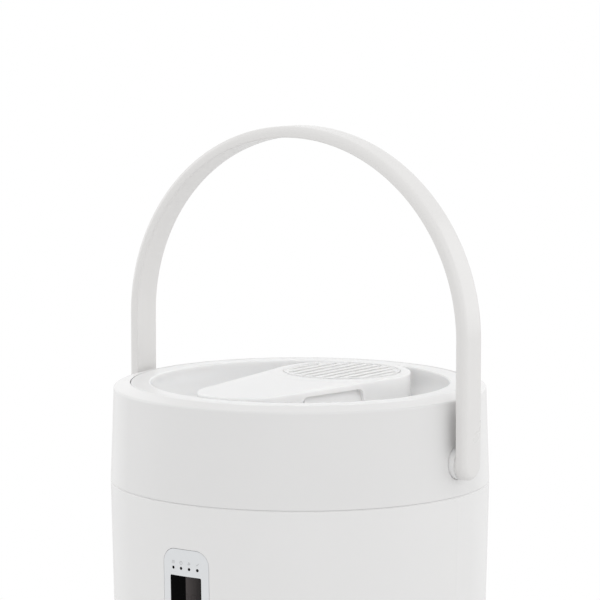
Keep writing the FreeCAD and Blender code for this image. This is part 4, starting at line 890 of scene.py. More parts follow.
def bar_outline(start: tuple[float, float], end: tuple[float, float], width: float) -> Outline:
    """A straight stroke with round ends.

    Args:
        start: one end of its middle line.
        end: the other end.
        width: the stroke's width.

    Returns:
        Points round it.
    """
    a, b = Vector(start), Vector(end)
    heading = math.atan2(b.y - a.y, b.x - a.x)
    points = []
    steps = 8
    for place, first in ((b, -90), (a, 90)):
        for step in range(steps + 1):
            turn = heading + math.radians(first + 180 * step / steps)
            points.append((place.x + width / 2 * math.cos(turn),
                           place.y + width / 2 * math.sin(turn)))
    return points


def arc_strokes(centre: tuple[float, float], radius: float, width: float,
                start: float, end: float, steps: int = 24) -> list[Outline]:
    """A curved stroke as a row of quads.

    Args:
        centre: middle of the arc.
        radius: radius of its middle line.
        width: the stroke's width.
        start: first angle in degrees.
        end: last angle in degrees.
        steps: number of quads.

    Returns:
        One outline for each quad.
    """
    quads = []
    for step in range(steps):
        turns = [math.radians(start + (end - start) * (step + k) / steps) for k in (0, 1)]
        quad = []
        for reach, order in ((radius - width / 2, turns), (radius + width / 2, turns[::-1])):
            for turn in order:
                quad.append((centre[0] + reach * math.cos(turn),
                             centre[1] + reach * math.sin(turn)))
        quads.append(quad)
    return quads


class Skin:
    """The outer face of a node, on which thin prints can be laid."""

    def __init__(self, node: bpy.types.Object) -> None:
        """Args:
            node: the CAD node whose face is used.
        """
        mesh = node.data
        self.tree = BVHTree.FromPolygons([v.co for v in mesh.vertices],
                                         [p.vertices for p in mesh.polygons])

    def reach(self, start: Vector, way: Vector) -> float:
        """How far a look from a point goes before it meets the node."""
        distance = self.tree.ray_cast(start, way)[3]
        return distance or 0.0

    def front(self, x: float, z: float) -> Optional[float]:
        """The Y of the face that a look along +Y meets first, or None."""
        hit = self.tree.ray_cast(Vector((x, -1.0, z)), Vector((0, 1, 0)))[0]
        return hit.y if hit else None


def printed(name: str, outlines: list[Outline], skin: Skin, material: bpy.types.Material,
            rise: float = 0.03 * MM, cell: float = 1.2 * MM) -> bpy.types.Object:
    """Lays flat outlines on a node's front as a thin layer that follows its curve.

    Args:
        name: the piece's name.
        outlines: closed outlines of (x, z) points.
        skin: the face they lie on.
        material: the ink.
        rise: how far the ink stands over the face.
        cell: longest straight stretch across the curve.

    Returns:
        The printed piece.
    """
    bm = bmesh.new()
    for outline in outlines:
        face = bm.faces.new([bm.verts.new((x, 0.0, z)) for x, z in outline])
        face.normal_update()
        if face.normal.y > 0:
            face.normal_flip()
    low = min(v.co.x for v in bm.verts)
    high = max(v.co.x for v in bm.verts)
    for step in range(1, int((high - low) / cell) + 1):
        bmesh.ops.bisect_plane(bm, geom=bm.verts[:] + bm.edges[:] + bm.faces[:],
                               plane_co=(low + step * cell, 0, 0), plane_no=(1, 0, 0))
    bmesh.ops.remove_doubles(bm, verts=bm.verts, dist=SAME_POINT)
    for vert in bm.verts:
        y = skin.front(vert.co.x, vert.co.z)
        vert.co.y = y if y is not None else 0.0
    grown = bmesh.ops.extrude_face_region(bm, geom=bm.faces[:], use_keep_orig=True)
    for item in grown["geom"]:
        if isinstance(item, bmesh.types.BMVert):
            item.co.y -= rise
    return new_piece(name, bm, material)


# ------------------------------------------------------------------------------ node groups
class Pattern(Nodes):
    """A geometry tree with named inputs, run once on a base mesh and turned into a plain mesh."""

    def __init__(self, name: str) -> None:
        """Args:
            name: the tree's name.
        """
        super().__init__(bpy.data.node_groups.new(name, "GeometryNodeTree"))
        for way in ("INPUT", "OUTPUT"):
            self.tree.interface.new_socket("Geometry", in_out=way,
                                           socket_type="NodeSocketGeometry")
        self.identifiers: dict[str, str] = {}
        self.start = self.tree.nodes.new("NodeGroupInput")
        self.end = self.tree.nodes.new("NodeGroupOutput")

    def take(self, name: str, kind: str = "NodeSocketFloat") -> None:
        """Adds a named input."""
        socket = self.tree.interface.new_socket(name, in_out="INPUT", socket_type=kind)
        self.identifiers[name] = socket.identifier

    def given(self, name: str = "Geometry") -> Wire:
        """A named input's value, or the base mesh."""
        return Wire(self, self.start.outputs[name])

    def moved(self, geometry: Wire, **values: Value) -> Wire:
        """Geometry after a Transform node with these inputs."""
        return self.add("GeometryNodeTransform", {}, {"Geometry": geometry, **values})

    def close(self, geometry: Wire) -> None:
        """Ends the tree with Realize Instances and Set Material.

        Args:
            geometry: what the tree has made.
        """
        self.take("Material", "NodeSocketMaterial")
        real = self.add("GeometryNodeRealizeInstances", {}, {"Geometry": geometry})
        dressed = self.add("GeometryNodeSetMaterial", {}, {
            "Geometry": real, "Material": self.given("Material")})
        self.feed(self.end.inputs[0], dressed)

    def run(self, name: str, base: bpy.types.Mesh, material: bpy.types.Material,
            angle: float = SHARP_ANGLE, **values: object) -> bpy.types.Object:
        """Runs the tree on a base mesh.

        Args:
            name: the new piece's name.
            base: the mesh that enters the tree.
            material: what Set Material puts on.
            angle: edges that turn by more than this stay sharp.
            **values: the named inputs.

        Returns:
            A plain mesh object.
        """
        carrier = linked(name + "_base", base)
        modifier = carrier.modifiers.new("pattern", "NODES")
        modifier.node_group = self.tree
        for key, value in {**values, "Material": material}.items():
            modifier[self.identifiers[key]] = value
        evaluated = carrier.evaluated_get(bpy.context.evaluated_depsgraph_get())
        mesh = bpy.data.meshes.new_from_object(evaluated)
        carrier.modifiers.clear()
        bpy.data.objects.remove(carrier)
        mesh.name = name
        smooth_by_angle(mesh, angle)
        return linked(name, mesh)


def points_mesh(name: str, points: Iterable[Vector]) -> bpy.types.Mesh:
    """A mesh of loose points.

    Args:
        name: its name.
        points: where they lie.

    Returns:
        The mesh.
    """
    mesh = bpy.data.meshes.new(name)
    mesh.from_pydata([tuple(p) for p in points], [], [])
    return mesh


def copies(name: str, source: bpy.types.Object, points: Iterable[Vector],
           material: bpy.types.Material, turn: float = 0.0) -> bpy.types.Object:
    """One mesh repeated on points.

    Args:
        name: the new piece's name.
        source: the object that is repeated, which is removed afterwards.
        points: where the copies go.
        material: their finish.
        turn: 1 turns each copy about Z to face away from the origin.

    Returns:
        A plain mesh object.
    """
    pattern = Pattern(name)
    pattern.take("Source", "NodeSocketObject")
    pattern.take("Turn")
    shape = pattern.add("GeometryNodeObjectInfo", {}, {"Object": pattern.given("Source")},
                        "Geometry")
    x, y, _ = pattern.axes(pattern.add("GeometryNodeInputPosition"))
    heading = pattern.vector(0.0, 0.0, y.angle(x) * pattern.given("Turn"))
    placed = pattern.add("GeometryNodeInstanceOnPoints", {}, {
        "Points": pattern.given(), "Instance": shape, "Rotation": heading})
    pattern.close(placed)
    piece = pattern.run(name, points_mesh(name + "_points", points), material,
                        Source=source, Turn=turn)
    bpy.data.objects.remove(source)
    return piece


def woven(name: str, centre: Vector, radius: float, pitch: float, wire: float,
          material: bpy.types.Material, lift: float = 0.8) -> bpy.types.Object:
    """A round screen of crossed wires.

    Args:
        name: the new piece's name.
        centre: the screen's middle.
        radius: the screen's radius.
        pitch: distance between wires.
        wire: radius of a wire.
        material: its finish.
        lift: how far each layer stands off the middle, in radii of a wire.

    Returns:
        A plain mesh object.
    """
    pattern = Pattern(name)
    for socket in ("Radius", "Wire"):
        pattern.take(socket)
    pattern.take("Centre", "NodeSocketVector")
    middle, thick = pattern.given("Centre"), pattern.given("Wire")
    local = pattern.add("ShaderNodeVectorMath", {"operation": "SUBTRACT"}, {
        0: pattern.add("GeometryNodeInputPosition"), 1: middle})
    chord = (pattern.given("Radius") ** 2.0 - pattern.axes(local)[0] ** 2.0).root()
    rod = pattern.add("GeometryNodeMeshCylinder", {}, {
        "Vertices": 6, "Radius": thick, "Depth": 2.0}, "Mesh")
    laid = pattern.add("GeometryNodeInstanceOnPoints", {}, {
        "Points": pattern.given(), "Instance": rod, "Rotation": (math.pi / 2, 0.0, 0.0),
        "Scale": pattern.vector(1.0, 1.0, chord)})
    home = pattern.add("ShaderNodeVectorMath", {"operation": "SCALE"}, {
        0: middle, "Scale": -1.0})
    back = pattern.moved(laid, Translation=home)
    both = pattern.add("GeometryNodeJoinGeometry")
    for turn, side in ((0.0, 1), (math.pi / 2, -1)):
        turned = pattern.moved(back, Rotation=(0.0, 0.0, turn))
        goal = pattern.add("ShaderNodeVectorMath", {"operation": "ADD"}, {
            0: middle, 1: pattern.vector(0.0, 0.0, thick * (side * lift))})
        pattern.feed(both.socket.node.inputs[0], pattern.moved(turned, Translation=goal))
    pattern.close(both)
    count = int((radius - wire) / pitch)
    points = [centre + Vector((step * pitch, 0, 0)) for step in range(-count, count + 1)]
    return pattern.run(name, points_mesh(name + "_points", points), material,
                       Radius=radius, Wire=wire, Centre=tuple(centre))


# ------------------------------------------------------------------------------ sub-assemblies
@dataclass
class Assembly:
    """What every sub-assembly shares: the frame, the palette and the nodes it owns.

    Attributes:
        frame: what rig.load() returned.
        palette: the finishes.
        owned: the bodies whose nodes it dresses.
    """

    frame: dict
    palette: Palette
    owned: ClassVar[tuple[str, ...]] = ()

    def node(self, name: str) -> bpy.types.Object:
        """A CAD node's object."""
        return self.frame["nodes"][name]

    def dress(self, names: Iterable[str]) -> None:
        """Puts each node's finish on it, by its own name or by its record slot.

        Args:
            names: the nodes.
        """
        slots = {s["node"]: s["material_slot"] for s in self.frame["record"]["subparts"]}
        for name in names:
            material = self.palette.get(NODE_FINISHES.get(name, slots[name]))
            mesh = self.node(name).data
            if not mesh.materials:
                mesh.materials.append(material)
            for index in range(len(mesh.materials)):
                mesh.materials[index] = material
            LOG.info("dressed %s with %s", name, material.name)

    def seat(self, piece: bpy.types.Object, body: str, slot: str, *nodes: str) -> None:
        """Rides a piece on a body, names its slot and hides the nodes it stands for.

        Args:
            piece: the piece.
            body: the body that it moves with.
            slot: its material slot.
            *nodes: the CAD nodes that it stands for.
        """
        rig.ride(piece, body)
        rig.slot(piece, slot)
        if nodes:
            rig.replaces(piece, *nodes)
        LOG.info("made %s on %s", piece.name, body)

    def build(self) -> None:
        """Dresses every node of its bodies."""
        bodies = self.frame["record"]["behaviour"]["bodies"]
        for body in self.owned:
            self.dress(bodies[body])


@dataclass
class Casing(Assembly):
    """Outer casing, chamber, pot, heater, circulator and electronics.

    Attributes:
        foot_radius: radius of a foot's pad.
        stem_radius: radius of a foot's stem.
        pad_height: height of a foot's pad.
        grooves: radii of the grooves under a foot.
        groove: width and depth of a groove.
        foot_rounding: rounding of a pad's lower edge.
        foot_chamfer: chamfer of its upper edge.
        seam_depth: how deep the strip lies in the line under the collar.
        seam_gap: height of that line.
        strip: how far the strip reaches inward.
        mark_heights: heights of the fill marks over the pot's underside.
        mark_turns: where round the pot they stand, in degrees.
        mark: thickness, width and height of a mark.
        mark_rounding: rounding of its edges, which is also how far it sinks into the wall.
        chip: size of a small part on the power board.
        chip_grid: number of places for them each way.
        chip_share: share of the board's sides that they take up.
        chip_sink: how far they sink into the board.
    """

    owned = ("casing",)
    foot_radius: float = 9.8 * MM
    stem_radius: float = 3.45 * MM
    pad_height: float = 6.8 * MM
    grooves: tuple[float, ...] = (2.6 * MM, 4.6 * MM, 6.6 * MM)
    groove: float = 0.7 * MM
    foot_rounding: float = 1.0 * MM
    foot_chamfer: float = 0.3 * MM
    seam_depth: float = 0.45 * MM
    seam_gap: float = 0.5 * MM
    strip: float = 0.9 * MM
    mark_heights: tuple[float, ...] = (30 * MM, 50 * MM, 70 * MM, 90 * MM, 110 * MM)
    mark_turns: tuple[float, ...] = (60.0, 240.0)
    mark: tuple[float, float, float] = (0.5 * MM, 10.0 * MM, 0.7 * MM)
    mark_rounding: float = 0.15 * MM
    chip: tuple[float, float, float] = (2.0 * MM, 1.25 * MM, 0.6 * MM)
    chip_grid: tuple[int, int] = (9, 6)
    chip_share: float = 0.7
    chip_sink: float = 0.02 * MM

    def feet(self) -> None:
        """Feet with grooved treads."""
        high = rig.box("rubber_feet")[1]
        edge, cut, steps = self.foot_rounding, self.foot_chamfer, 6
        profile = [(0.0, 0.0)]
        for radius in self.grooves:
            half = self.groove / 2
            profile += [(radius - half, 0.0), (radius - half * 0.6, self.groove),
                        (radius + half * 0.6, self.groove), (radius + half, 0.0)]
        for step in range(steps + 1):
            turn = math.radians(90 * step / steps)
            profile.append((self.foot_radius - edge + edge * math.sin(turn),
                            edge - edge * math.cos(turn)))
        profile += [(self.foot_radius, self.pad_height - cut),
                    (self.foot_radius - cut, self.pad_height),
                    (self.stem_radius, self.pad_height), (self.stem_radius, high.z), (0.0, high.z)]
        bm = bmesh.new()
        lathe(bm, profile, 40)
        rubber = self.palette.get("foot_rubber")
        source = new_piece("foot_source", bm, rubber)
        points = [Vector((x * (high.x - self.foot_radius), y * (high.y - self.foot_radius), 0))
                  for x in (-1, 1) for y in (-1, 1)]
        self.seat(copies("treaded_feet", source, points, rubber), "casing", "foot_rubber",
                  "rubber_feet")

    def seam(self) -> None:
        """A pale strip that lies back in the line between casing and collar."""
        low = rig.box("body_shell")[1].z
        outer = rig.box("body_shell")[1].x - self.seam_depth
        inner, high = outer - self.strip, low + self.seam_gap
        bm = bmesh.new()
        lathe(bm, [(inner, low), (outer, low), (outer, high), (inner, high), (inner, low)], 256)
        piece = new_piece("seam_strip", bm, self.palette.get("casing_white"))
        self.seat(piece, "casing", "casing_white")

    def fill_marks(self) -> None:
        """Raised level marks up the pot's wall, opposite each other."""
        wall = Skin(self.node("inner_pot"))
        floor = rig.box("inner_pot")[0].z
        steel = self.palette.get("steel_round")
        points = []
        for rise in self.mark_heights:
            level = Vector((0, 0, floor + rise))
            for turn in self.mark_turns:
                way = Matrix.Rotation(math.radians(turn), 3, "Z") @ Vector((1, 0, 0))
                points.append(way * (wall.reach(level, way) - self.mark_rounding) + level)
        source = block("mark_source", self.mark, self.mark_rounding, 2, steel)
        self.seat(copies("fill_marks", source, points, steel, 1.0), "casing", "steel")

    def chips(self) -> None:
        """Small parts soldered under the power board."""
        low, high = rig.box("power_board")
        black = self.palette.get("component_black")
        source = block("chip_source", self.chip, 0.1 * MM, 1, black)
        columns, rows = self.chip_grid
        middle, size = (low + high) / 2, (high - low) * self.chip_share
        points = [Vector((middle.x + size.x * (i / (columns - 1) - 0.5),
                          middle.y + size.y * (j / (rows - 1) - 0.5),
                          low.z - self.chip[2] / 2 + self.chip_sink))
                  for i in range(columns) for j in range(rows) if (i * 5 + j * 3) % 4]
        self.seat(copies("board_chips", source, points, black), "casing", "component_black")

    def build(self) -> None:
        """Dresses the casing's body and adds the small pieces."""
        super().build()
        self.feet()
        self.seam()
        self.fill_marks()
        self.chips()


@dataclass
class ControlPanel(Assembly):
    """Prints on the control panel and its buttons.

    Attributes:
        stroke: width of a symbol's lines.
        symbol: half the size of a button's symbol.
        icon: half the size of an indicator's icon.
        icon_stroke: width of an icon's lines.
        icon_rise: how far the icons stand over the lamps.
        digit: a digit's width, height and stroke.
        digit_pitch: distance between digits.
        digit_rows: heights of the two rows over the window's middle.
    """

    owned = ("minus_button", "plus_button", "timer_button", "power_button")
    stroke: float = 0.55 * MM
    symbol: float = 2.1 * MM
    icon: float = 1.1 * MM
    icon_stroke: float = 0.22 * MM
    icon_rise: float = 3.4 * MM
    digit: tuple[float, float, float] = (4.0 * MM, 7.6 * MM, 0.9 * MM)
    digit_pitch: float = 6.2 * MM
    digit_rows: tuple[float, float] = (4.6 * MM, -8.0 * MM)

    def middle(self, node: str) -> tuple[float, float]:
        """The X and Z of a node's middle."""
        low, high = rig.box(node)
        return (low.x + high.x) / 2, (low.z + high.z) / 2

    def button_symbols(self) -> dict[str, list[Outline]]:
        """Outlines of each button's plain symbol.

        Returns:
            Outlines by the button's node.
        """
        shapes = {}
        s, w = self.symbol, self.stroke
        x, z = self.middle("minus_button")
        shapes["minus_button"] = [bar_outline((x - s, z), (x + s, z), w)]
        x, z = self.middle("plus_button")
        gap = w / 2 * 1.02
        shapes["plus_button"] = [
            bar_outline((x - s, z), (x + s, z), w), bar_outline((x, z + gap), (x, z + s), w),
            bar_outline((x, z - s), (x, z - gap), w)]
        x, z = self.middle("timer_button")
        shapes["timer_button"] = arc_strokes((x, z), s, w, 0, 360, 40) + [
            bar_outline((x, z), (x, z + s * 0.6), w * 0.8),
            bar_outline((x + w * 0.42, z), (x + s * 0.45, z), w * 0.8)]
        x, z = self.middle("power_button")
        shapes["power_button"] = arc_strokes((x, z), s, w, 125, 415, 36) + [
            bar_outline((x, z + s * 0.35), (x, z + s * 1.15), w)]
        return shapes

    def lamp_places(self) -> list[tuple[float, float]]:
        """Middles of the four lamps, from the outer pair's box.

        Returns:
            An (x, z) point for each lamp.
        """
        low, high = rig.box("indicator_lenses")
        radius = (high.z - low.z) / 2
        count = 4
        step = (high.x - low.x - 2 * radius) / (count - 1)
        return [(low.x + radius + step * i, (low.z + high.z) / 2) for i in range(count)]

    def icons(self) -> list[Outline]:
        """A small plain icon over each lamp: heat, time, bubbles and a check mark.

        Returns:
            Their outlines.
        """
        r, w = self.icon, self.icon_stroke
        places = [(x, z + self.icon_rise) for x, z in self.lamp_places()]
        shapes: list[Outline] = []
        x, z = places[0]
        for side in (-0.7, 0.0, 0.7):
            shapes += arc_strokes((x + side * r - 0.3 * r, z + r * 0.4), r * 0.5, w, -60, 60, 6)
            shapes += arc_strokes((x + side * r + 0.3 * r, z - r * 0.4), r * 0.5, w, 120, 240, 6)
        x, z = places[1]
        shapes += arc_strokes((x, z), r * 0.9, w, 0, 360, 24)
        shapes.append(bar_outline((x, z), (x, z + r * 0.55), w))
        x, z = places[2]
        for dx, dz, size in ((-0.45, -0.4, 0.36), (0.4, -0.1, 0.28), (-0.1, 0.55, 0.22)):
            shapes += arc_strokes((x + dx * r, z + dz * r), size * r, w * 0.8, 0, 360, 14)
        x, z = places[3]
        shapes.append(bar_outline((x - r * 0.7, z - r * 0.05), (x - r * 0.2, z - r * 0.6), w))
        shapes.append(bar_outline((x - r * 0.2, z - r * 0.6), (x + r * 0.8, z + r * 0.65), w))
        return shapes

    def segments(self) -> list[Outline]:
        """Unlit seven-segment digits in two rows on the window.

        Returns:
            Their outlines.
        """
        low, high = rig.box("display_window")
        middle = (low.z + high.z) / 2
        width, height, stroke = self.digit
        shapes: list[Outline] = []
        for row in (middle + rise for rise in self.digit_rows):
            for x in (-self.digit_pitch, 0.0, self.digit_pitch):
                for z in (row - height / 2, row, row + height / 2):
                    shapes.append(bar_outline((x - width / 2 + stroke * 0.7, z),
                                              (x + width / 2 - stroke * 0.7, z), stroke))
                for side in (-1, 1):
                    for way in (-1, 1):
                        shapes.append(bar_outline(
                            (x + side * width / 2, row + way * stroke * 0.8),
                            (x + side * width / 2, row + way * (height / 2 - stroke * 0.8)),
                            stroke))
        return shapes

    def build(self) -> None:
        """Adds the prints and dresses the buttons."""
        super().build()
        ink = self.palette.get("ink_grey")
        for name, outlines in self.button_symbols().items():
            piece = printed(name + "_symbol", outlines, Skin(self.node(name)), ink)
            self.seat(piece, name, "button_grey")
        panel = Skin(self.node("control_panel"))
        icons = printed("indicator_icons", self.icons(), panel, self.palette.get("ink_faint"))
        self.seat(icons, "casing", "panel_white")
        ghost = printed("display_segments", self.segments(), Skin(self.node("display_window")),
                        self.palette.get("ghost_segments"), 0.01 * MM)
        self.seat(ghost, "casing", "window_black")


class Lid(Assembly):
    """The lift-off lid."""

    owned = ("lid",)


@dataclass
class VentCap(Assembly):
    """The slatted round cap with a screen under its slats.

    Attributes:
        screen_radius: radius of the screen.
        screen_rise: height of the screen over the cap's lower edge.
        pitch: distance between the screen's wires.
        wire: radius of a wire.
    """

    owned = ("vent_cap",)
    screen_radius: float = 31.2 * MM
    screen_rise: float = 3.4 * MM
    pitch: float = 1.1 * MM
    wire: float = 0.2 * MM

    def build(self) -> None:
        """Dresses the cap and adds its screen."""
        super().build()
        low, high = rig.box("vent_cap")
        centre = Vector(((low.x + high.x) / 2, (low.y + high.y) / 2, low.z + self.screen_rise))
        screen = woven("vent_screen", centre, self.screen_radius, self.pitch, self.wire,
                       self.palette.get("screen_cloth"))
        self.seat(screen, "vent_cap", "lid_white")


@dataclass
class Handle(Assembly):
    """The bail handle with its washers and screws.

    Attributes:
        width: the strap's width.
        thickness: the strap's thickness.
        outer_rounding: rounding along the strap's outer edges.
        inner_rounding: rounding along its inner edges.
        arch_rise: from the start of the arch to its outer top.
        axle_radius: radius of the stub axles.
        seat_radius: radius of the rings at the axles' roots.
        seat_rise: how far those rings stand off the strap.
        thread_radius: radius of the screw hole in an axle.
        thread_depth: depth of that hole.
        stations: steps along each straight leg, over the arch and round each end.
        chamfer: chamfer of an axle's tip.
        axle_sink: how far an axle's root sinks into the strap.
    """

    owned = ("handle",)
    width: float = 20.0 * MM
    thickness: float = 7.0 * MM
    outer_rounding: float = 3.6 * MM
    inner_rounding: float = 1.2 * MM
    arch_rise: float = 125.0 * MM
    axle_radius: float = 5.0 * MM
    seat_radius: float = 10.0 * MM
    seat_rise: float = 0.3 * MM
    thread_radius: float = 1.5 * MM
    thread_depth: float = 10.0 * MM
    stations: tuple[int, int, int] = (6, 128, 24)
    chamfer: float = 0.3 * MM
    axle_sink: float = 0.5 * MM

    def track(self) -> list[tuple[str, float]]:
        """Stations along one long edge: kind of stretch and how far along it.

        Returns:
            A (kind, share) pair for each station.
        """
        legs, arch, _ = self.stations
        return ([("left", k / legs) for k in range(legs)]
                + [("arch", k / arch) for k in range(arch + 1)]
                + [("right", k / legs) for k in range(1, legs + 1)])

    def profile(self) -> list[tuple[float, float]]:
        """Across the strap: (distance in from its outline, depth below its outer face).

        Returns:
            Points from the outer middle to the inner middle.
        """
        half, steps = self.width / 2, 8
        points = [(half, 0.0), (0.5 * (half + self.outer_rounding), 0.0)]
        for rounding, turns in ((self.outer_rounding, (90, 0)), (self.inner_rounding, (0, 90))):
            outer = turns[0] == 90
            for step in range(steps + 1):
                turn = math.radians(turns[0] + (turns[1] - turns[0]) * step / steps)
                inset = rounding * (1 - math.cos(turn))
                drop = rounding * (1 - math.sin(turn))
                points.append((inset, drop if outer else self.thickness - drop))
        return points + [(0.5 * (half + self.inner_rounding), self.thickness),
                         (half, self.thickness)]

    def strap(self, bm: bmesh.types.BMesh) -> None:
        """Adds the arched strap with its round ends.

        Args:
            bm: where it goes.
        """
        low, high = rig.box("bail_handle")
        span, half = high.x, self.width / 2
        pivot, spring = low.z + half, high.z - self.arch_rise
        ends = self.stations[2]

        def point(kind: str, along: float, side: int, inset: float, depth: float) -> Vector:
            """One vertex of the strap.

            Args:
                kind: kind of stretch.
                along: how far along it, from 0 to 1.
                side: 1 or -1, for the long edge or the end.
                inset: distance in from the outline.
                depth: depth below the outer face.

            Returns:
                Its place.
            """
            y = side * (half - inset)
            if kind == "arch":
                turn = math.pi * (1 - along)
                return Vector(((span - depth) * math.cos(turn), y,
                               spring + (self.arch_rise - depth) * math.sin(turn)))
            if kind == "end":
                turn = math.pi * along
                reach = half - inset
                return Vector((side * (span - depth), side * reach * math.cos(turn),
                               pivot - reach * math.sin(turn)))
            rise = along if kind == "left" else 1 - along
            x = (depth - span) if kind == "left" else (span - depth)
            return Vector((x, y, pivot + (spring - pivot) * rise))

        outline = [(kind, along, 1) for kind, along in self.track()]
        outline += [("end", k / ends, 1) for k in range(1, ends)]
        outline += [(kind, along, -1) for kind, along in reversed(self.track())]
        outline += [("end", k / ends, -1) for k in range(1, ends)]
        loops = [[bm.verts.new(point(*station, inset, depth)) for station in outline]
                 for inset, depth in self.profile()]
        for first, second in zip(loops, loops[1:]):
            for index in range(len(outline)):
                after = (index + 1) % len(outline)
                bm.faces.new((first[index], first[after], second[after], second[index]))
        bmesh.ops.remove_doubles(bm, verts=bm.verts, dist=SAME_POINT)
        bmesh.ops.dissolve_degenerate(bm, edges=bm.edges, dist=NO_LENGTH)

    def axle(self, bm: bmesh.types.BMesh, side: int) -> None:
        """Adds one stub axle with its ring and screw hole.

        Args:
            bm: where it goes.
            side: 1 for the axle at positive X, -1 for the other.
        """
        low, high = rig.box("bail_handle")
        root = high.x - self.thickness + self.axle_sink
        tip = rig.box("pivot_washers")[1].x
        seat = high.x - self.thickness - self.seat_rise
        profile = [(0.0, tip + self.thread_depth), (self.thread_radius, tip + self.thread_depth),
                   (self.thread_radius, tip), (self.axle_radius - self.chamfer, tip),
                   (self.axle_radius, tip + self.chamfer), (self.axle_radius, seat),
                   (self.seat_radius, seat), (self.seat_radius, root), (0.0, root)]
        turned = Matrix.Rotation(math.radians(90 * side), 4, "Y")
        lathe(bm, profile, 48, Vector((0, 0, low.z + self.width / 2)), turned)

    def build(self) -> None:
        """Dresses the handle's body and rebuilds its smooth strap."""
        super().build()
        bm = bmesh.new()
        self.strap(bm)
        for side in (-1, 1):
            self.axle(bm, side)
        piece = new_piece("handle_strap", bm, self.palette.get("handle_white"), 50.0)
        self.seat(piece, "handle", "handle_white", "bail_handle")


class Circulator(Assembly):
    """The moving parts of the circulator."""

    owned = ("drive_rotor", "impeller")


# ------------------------------------------------------------------------------ studio
@dataclass(frozen=True)
class Lamp:
    """One soft lamp.

    Attributes:
        name: its name.
        turn: its turn from the camera, in degrees.
        reach: its distance from the axis.
        height: its height.
        sides: its level side and its other side.
        power: its power in watts.
    """

    name: str
    turn: float
    reach: float
    height: float
    sides: tuple[float, float]
    power: float

    def hang(self, azimuth: float, aim: Vector) -> None:
        """Adds the lamp at its turn from an azimuth, facing a point.

        Args:
            azimuth: the camera's turn from the front, in degrees.
            aim: the point.
        """
        data = bpy.data.lights.new(self.name, "AREA")
        data.shape = "RECTANGLE"
        data.size, data.size_y = self.sides
        data.energy = self.power
        angle = math.radians(azimuth + self.turn)
        place = Vector((math.sin(angle) * self.reach, -math.cos(angle) * self.reach,
                        self.height))
        lamp = linked(self.name, data)
        lamp.location = place
        lamp.rotation_euler = (aim - place).to_track_quat("-Z", "Y").to_euler()


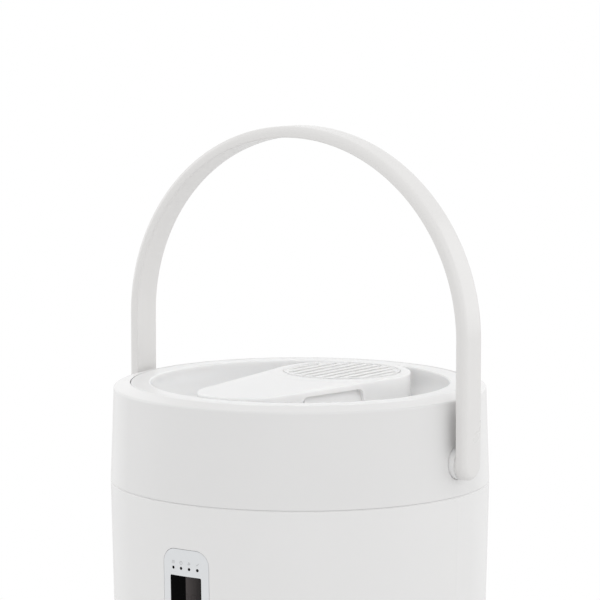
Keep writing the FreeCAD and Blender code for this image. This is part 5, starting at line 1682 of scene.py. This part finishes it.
@dataclass
class Studio:
    """Floor, light and camera.

    Attributes:
        azimuth: camera's turn from the front, in degrees.
        elevation: camera's height over the horizon, in degrees.
        distance: from the camera to the point it looks at.
        aim_height: height of the point it looks at.
        lens: focal length in millimetres, on a 36 mm sensor.
        world_level: strength of the surrounding light.
        white_from: radius at which the floor starts to fade to white.
        white_to: radius at which it is white.
        floor_reach: half the floor's side.
        aim: point that the lamps face.
        lamps: the lamps.
    """

    azimuth: float = 35.8
    elevation: float = 6.73
    distance: float = 1.954
    aim_height: float = 0.3004
    lens: float = 189.0
    world_level: float = 0.92
    white_from: float = 0.30
    white_to: float = 0.46
    floor_reach: float = 12.0
    aim: tuple[float, float, float] = (0.0, 0.0, 0.2)
    lamps: tuple[Lamp, ...] = (
        Lamp("front", 8, 2.4, 1.2, (1.6, 1.2), 3.0),
        Lamp("front_right", 60, 2.2, 0.8, (1.4, 1.2), 1.9),
        Lamp("right", 105, 2.0, 0.8, (1.2, 1.4), 3.1),
        Lamp("left", -115, 2.0, 0.8, (1.2, 1.4), 3.5))

    def camera(self) -> None:
        """Places the camera."""
        turn, rise = math.radians(self.azimuth), math.radians(self.elevation)
        back = Vector((math.sin(turn) * math.cos(rise), -math.cos(turn) * math.cos(rise),
                       math.sin(rise)))
        data = bpy.data.cameras.new("camera")
        data.lens = self.lens
        data.sensor_width = 36.0
        data.clip_end = 50.0
        camera = linked("camera", data)
        camera.location = Vector((0, 0, self.aim_height)) + back * self.distance
        camera.rotation_euler = (-back).to_track_quat("-Z", "Y").to_euler()
        bpy.context.scene.camera = camera

    def world(self) -> None:
        """Even white surroundings, plain white to the camera and in reflections."""
        world = bpy.data.worlds.new("studio")
        world.use_nodes = True
        nodes = Nodes(world.node_tree)
        light, seen = (nodes.add("ShaderNodeBackground", {}, {
            "Color": (1, 1, 1, 1), "Strength": level}) for level in (self.world_level, 1.0))
        path = nodes.add("ShaderNodeLightPath", output="Is Camera Ray")
        either = path.greater(Wire(nodes, path.socket.node.outputs["Is Glossy Ray"]))
        mix = nodes.add("ShaderNodeMixShader", {}, {0: either, 1: light, 2: seen})
        output = nodes.tree.nodes.new("ShaderNodeOutputWorld")
        nodes.feed(output.inputs["Surface"], mix)
        bpy.context.scene.world = world

    def floor(self) -> None:
        """A pale floor that keeps its shadow near the object and fades to white beyond it."""
        bm = bmesh.new()
        corners = [bm.verts.new((x * self.floor_reach, y * self.floor_reach, 0.0))
                   for x, y in ((-1, -1), (1, -1), (1, 1), (-1, 1))]
        bm.faces.new(corners)
        graph = Graph("floor")
        x, y, _ = graph.axes(graph.place())
        fade = graph.span(graph.length(x, y), self.white_from, self.white_to)
        seen = graph.add("ShaderNodeLightPath", output="Is Camera Ray")
        paper = graph.noise(graph.place(), 30.0, 3.0)
        graph.finish(graph.blend(graph.span(paper, 0.3, 0.7), grey(0.80), grey(0.82)), 0.9)
        white = graph.add("ShaderNodeEmission", {}, {"Color": (1, 1, 1, 1), "Strength": 1.0})
        lit = Wire(graph, graph.surface.outputs[0])
        mix = graph.add("ShaderNodeMixShader", {}, {0: fade * seen, 1: lit, 2: white})
        graph.feed(graph.output.inputs["Surface"], mix)
        floor = new_piece("floor", bm, graph.material)
        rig.stage(floor)

    def build(self) -> None:
        """Builds the studio."""
        self.camera()
        self.world()
        self.floor()
        for lamp in self.lamps:
            lamp.hang(self.azimuth, Vector(self.aim))
        bpy.context.scene.view_settings.view_transform = "Standard"


def as_lists(corners: tuple[Vector, Vector]) -> list[list[float]]:
    """Two corners as plain lists."""
    return [list(corner) for corner in corners]


def main() -> None:
    """Loads the frame, builds every sub-assembly and writes the two boxes."""
    logging.basicConfig(level=logging.INFO, format="%(name)s: %(message)s")
    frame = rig.load()
    built_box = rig.bounds()
    palette = Palette()
    for kind in (Casing, ControlPanel, Lid, VentCap, Handle, Circulator):
        kind(frame, palette).build()
    Studio().build()
    bpy.context.view_layer.update()
    boxes = {"cad": as_lists(built_box), "visual": as_lists(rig.bounds())}
    with open("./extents.json", "w") as handle:
        json.dump(boxes, handle)


if __name__ == "__main__":
    main()
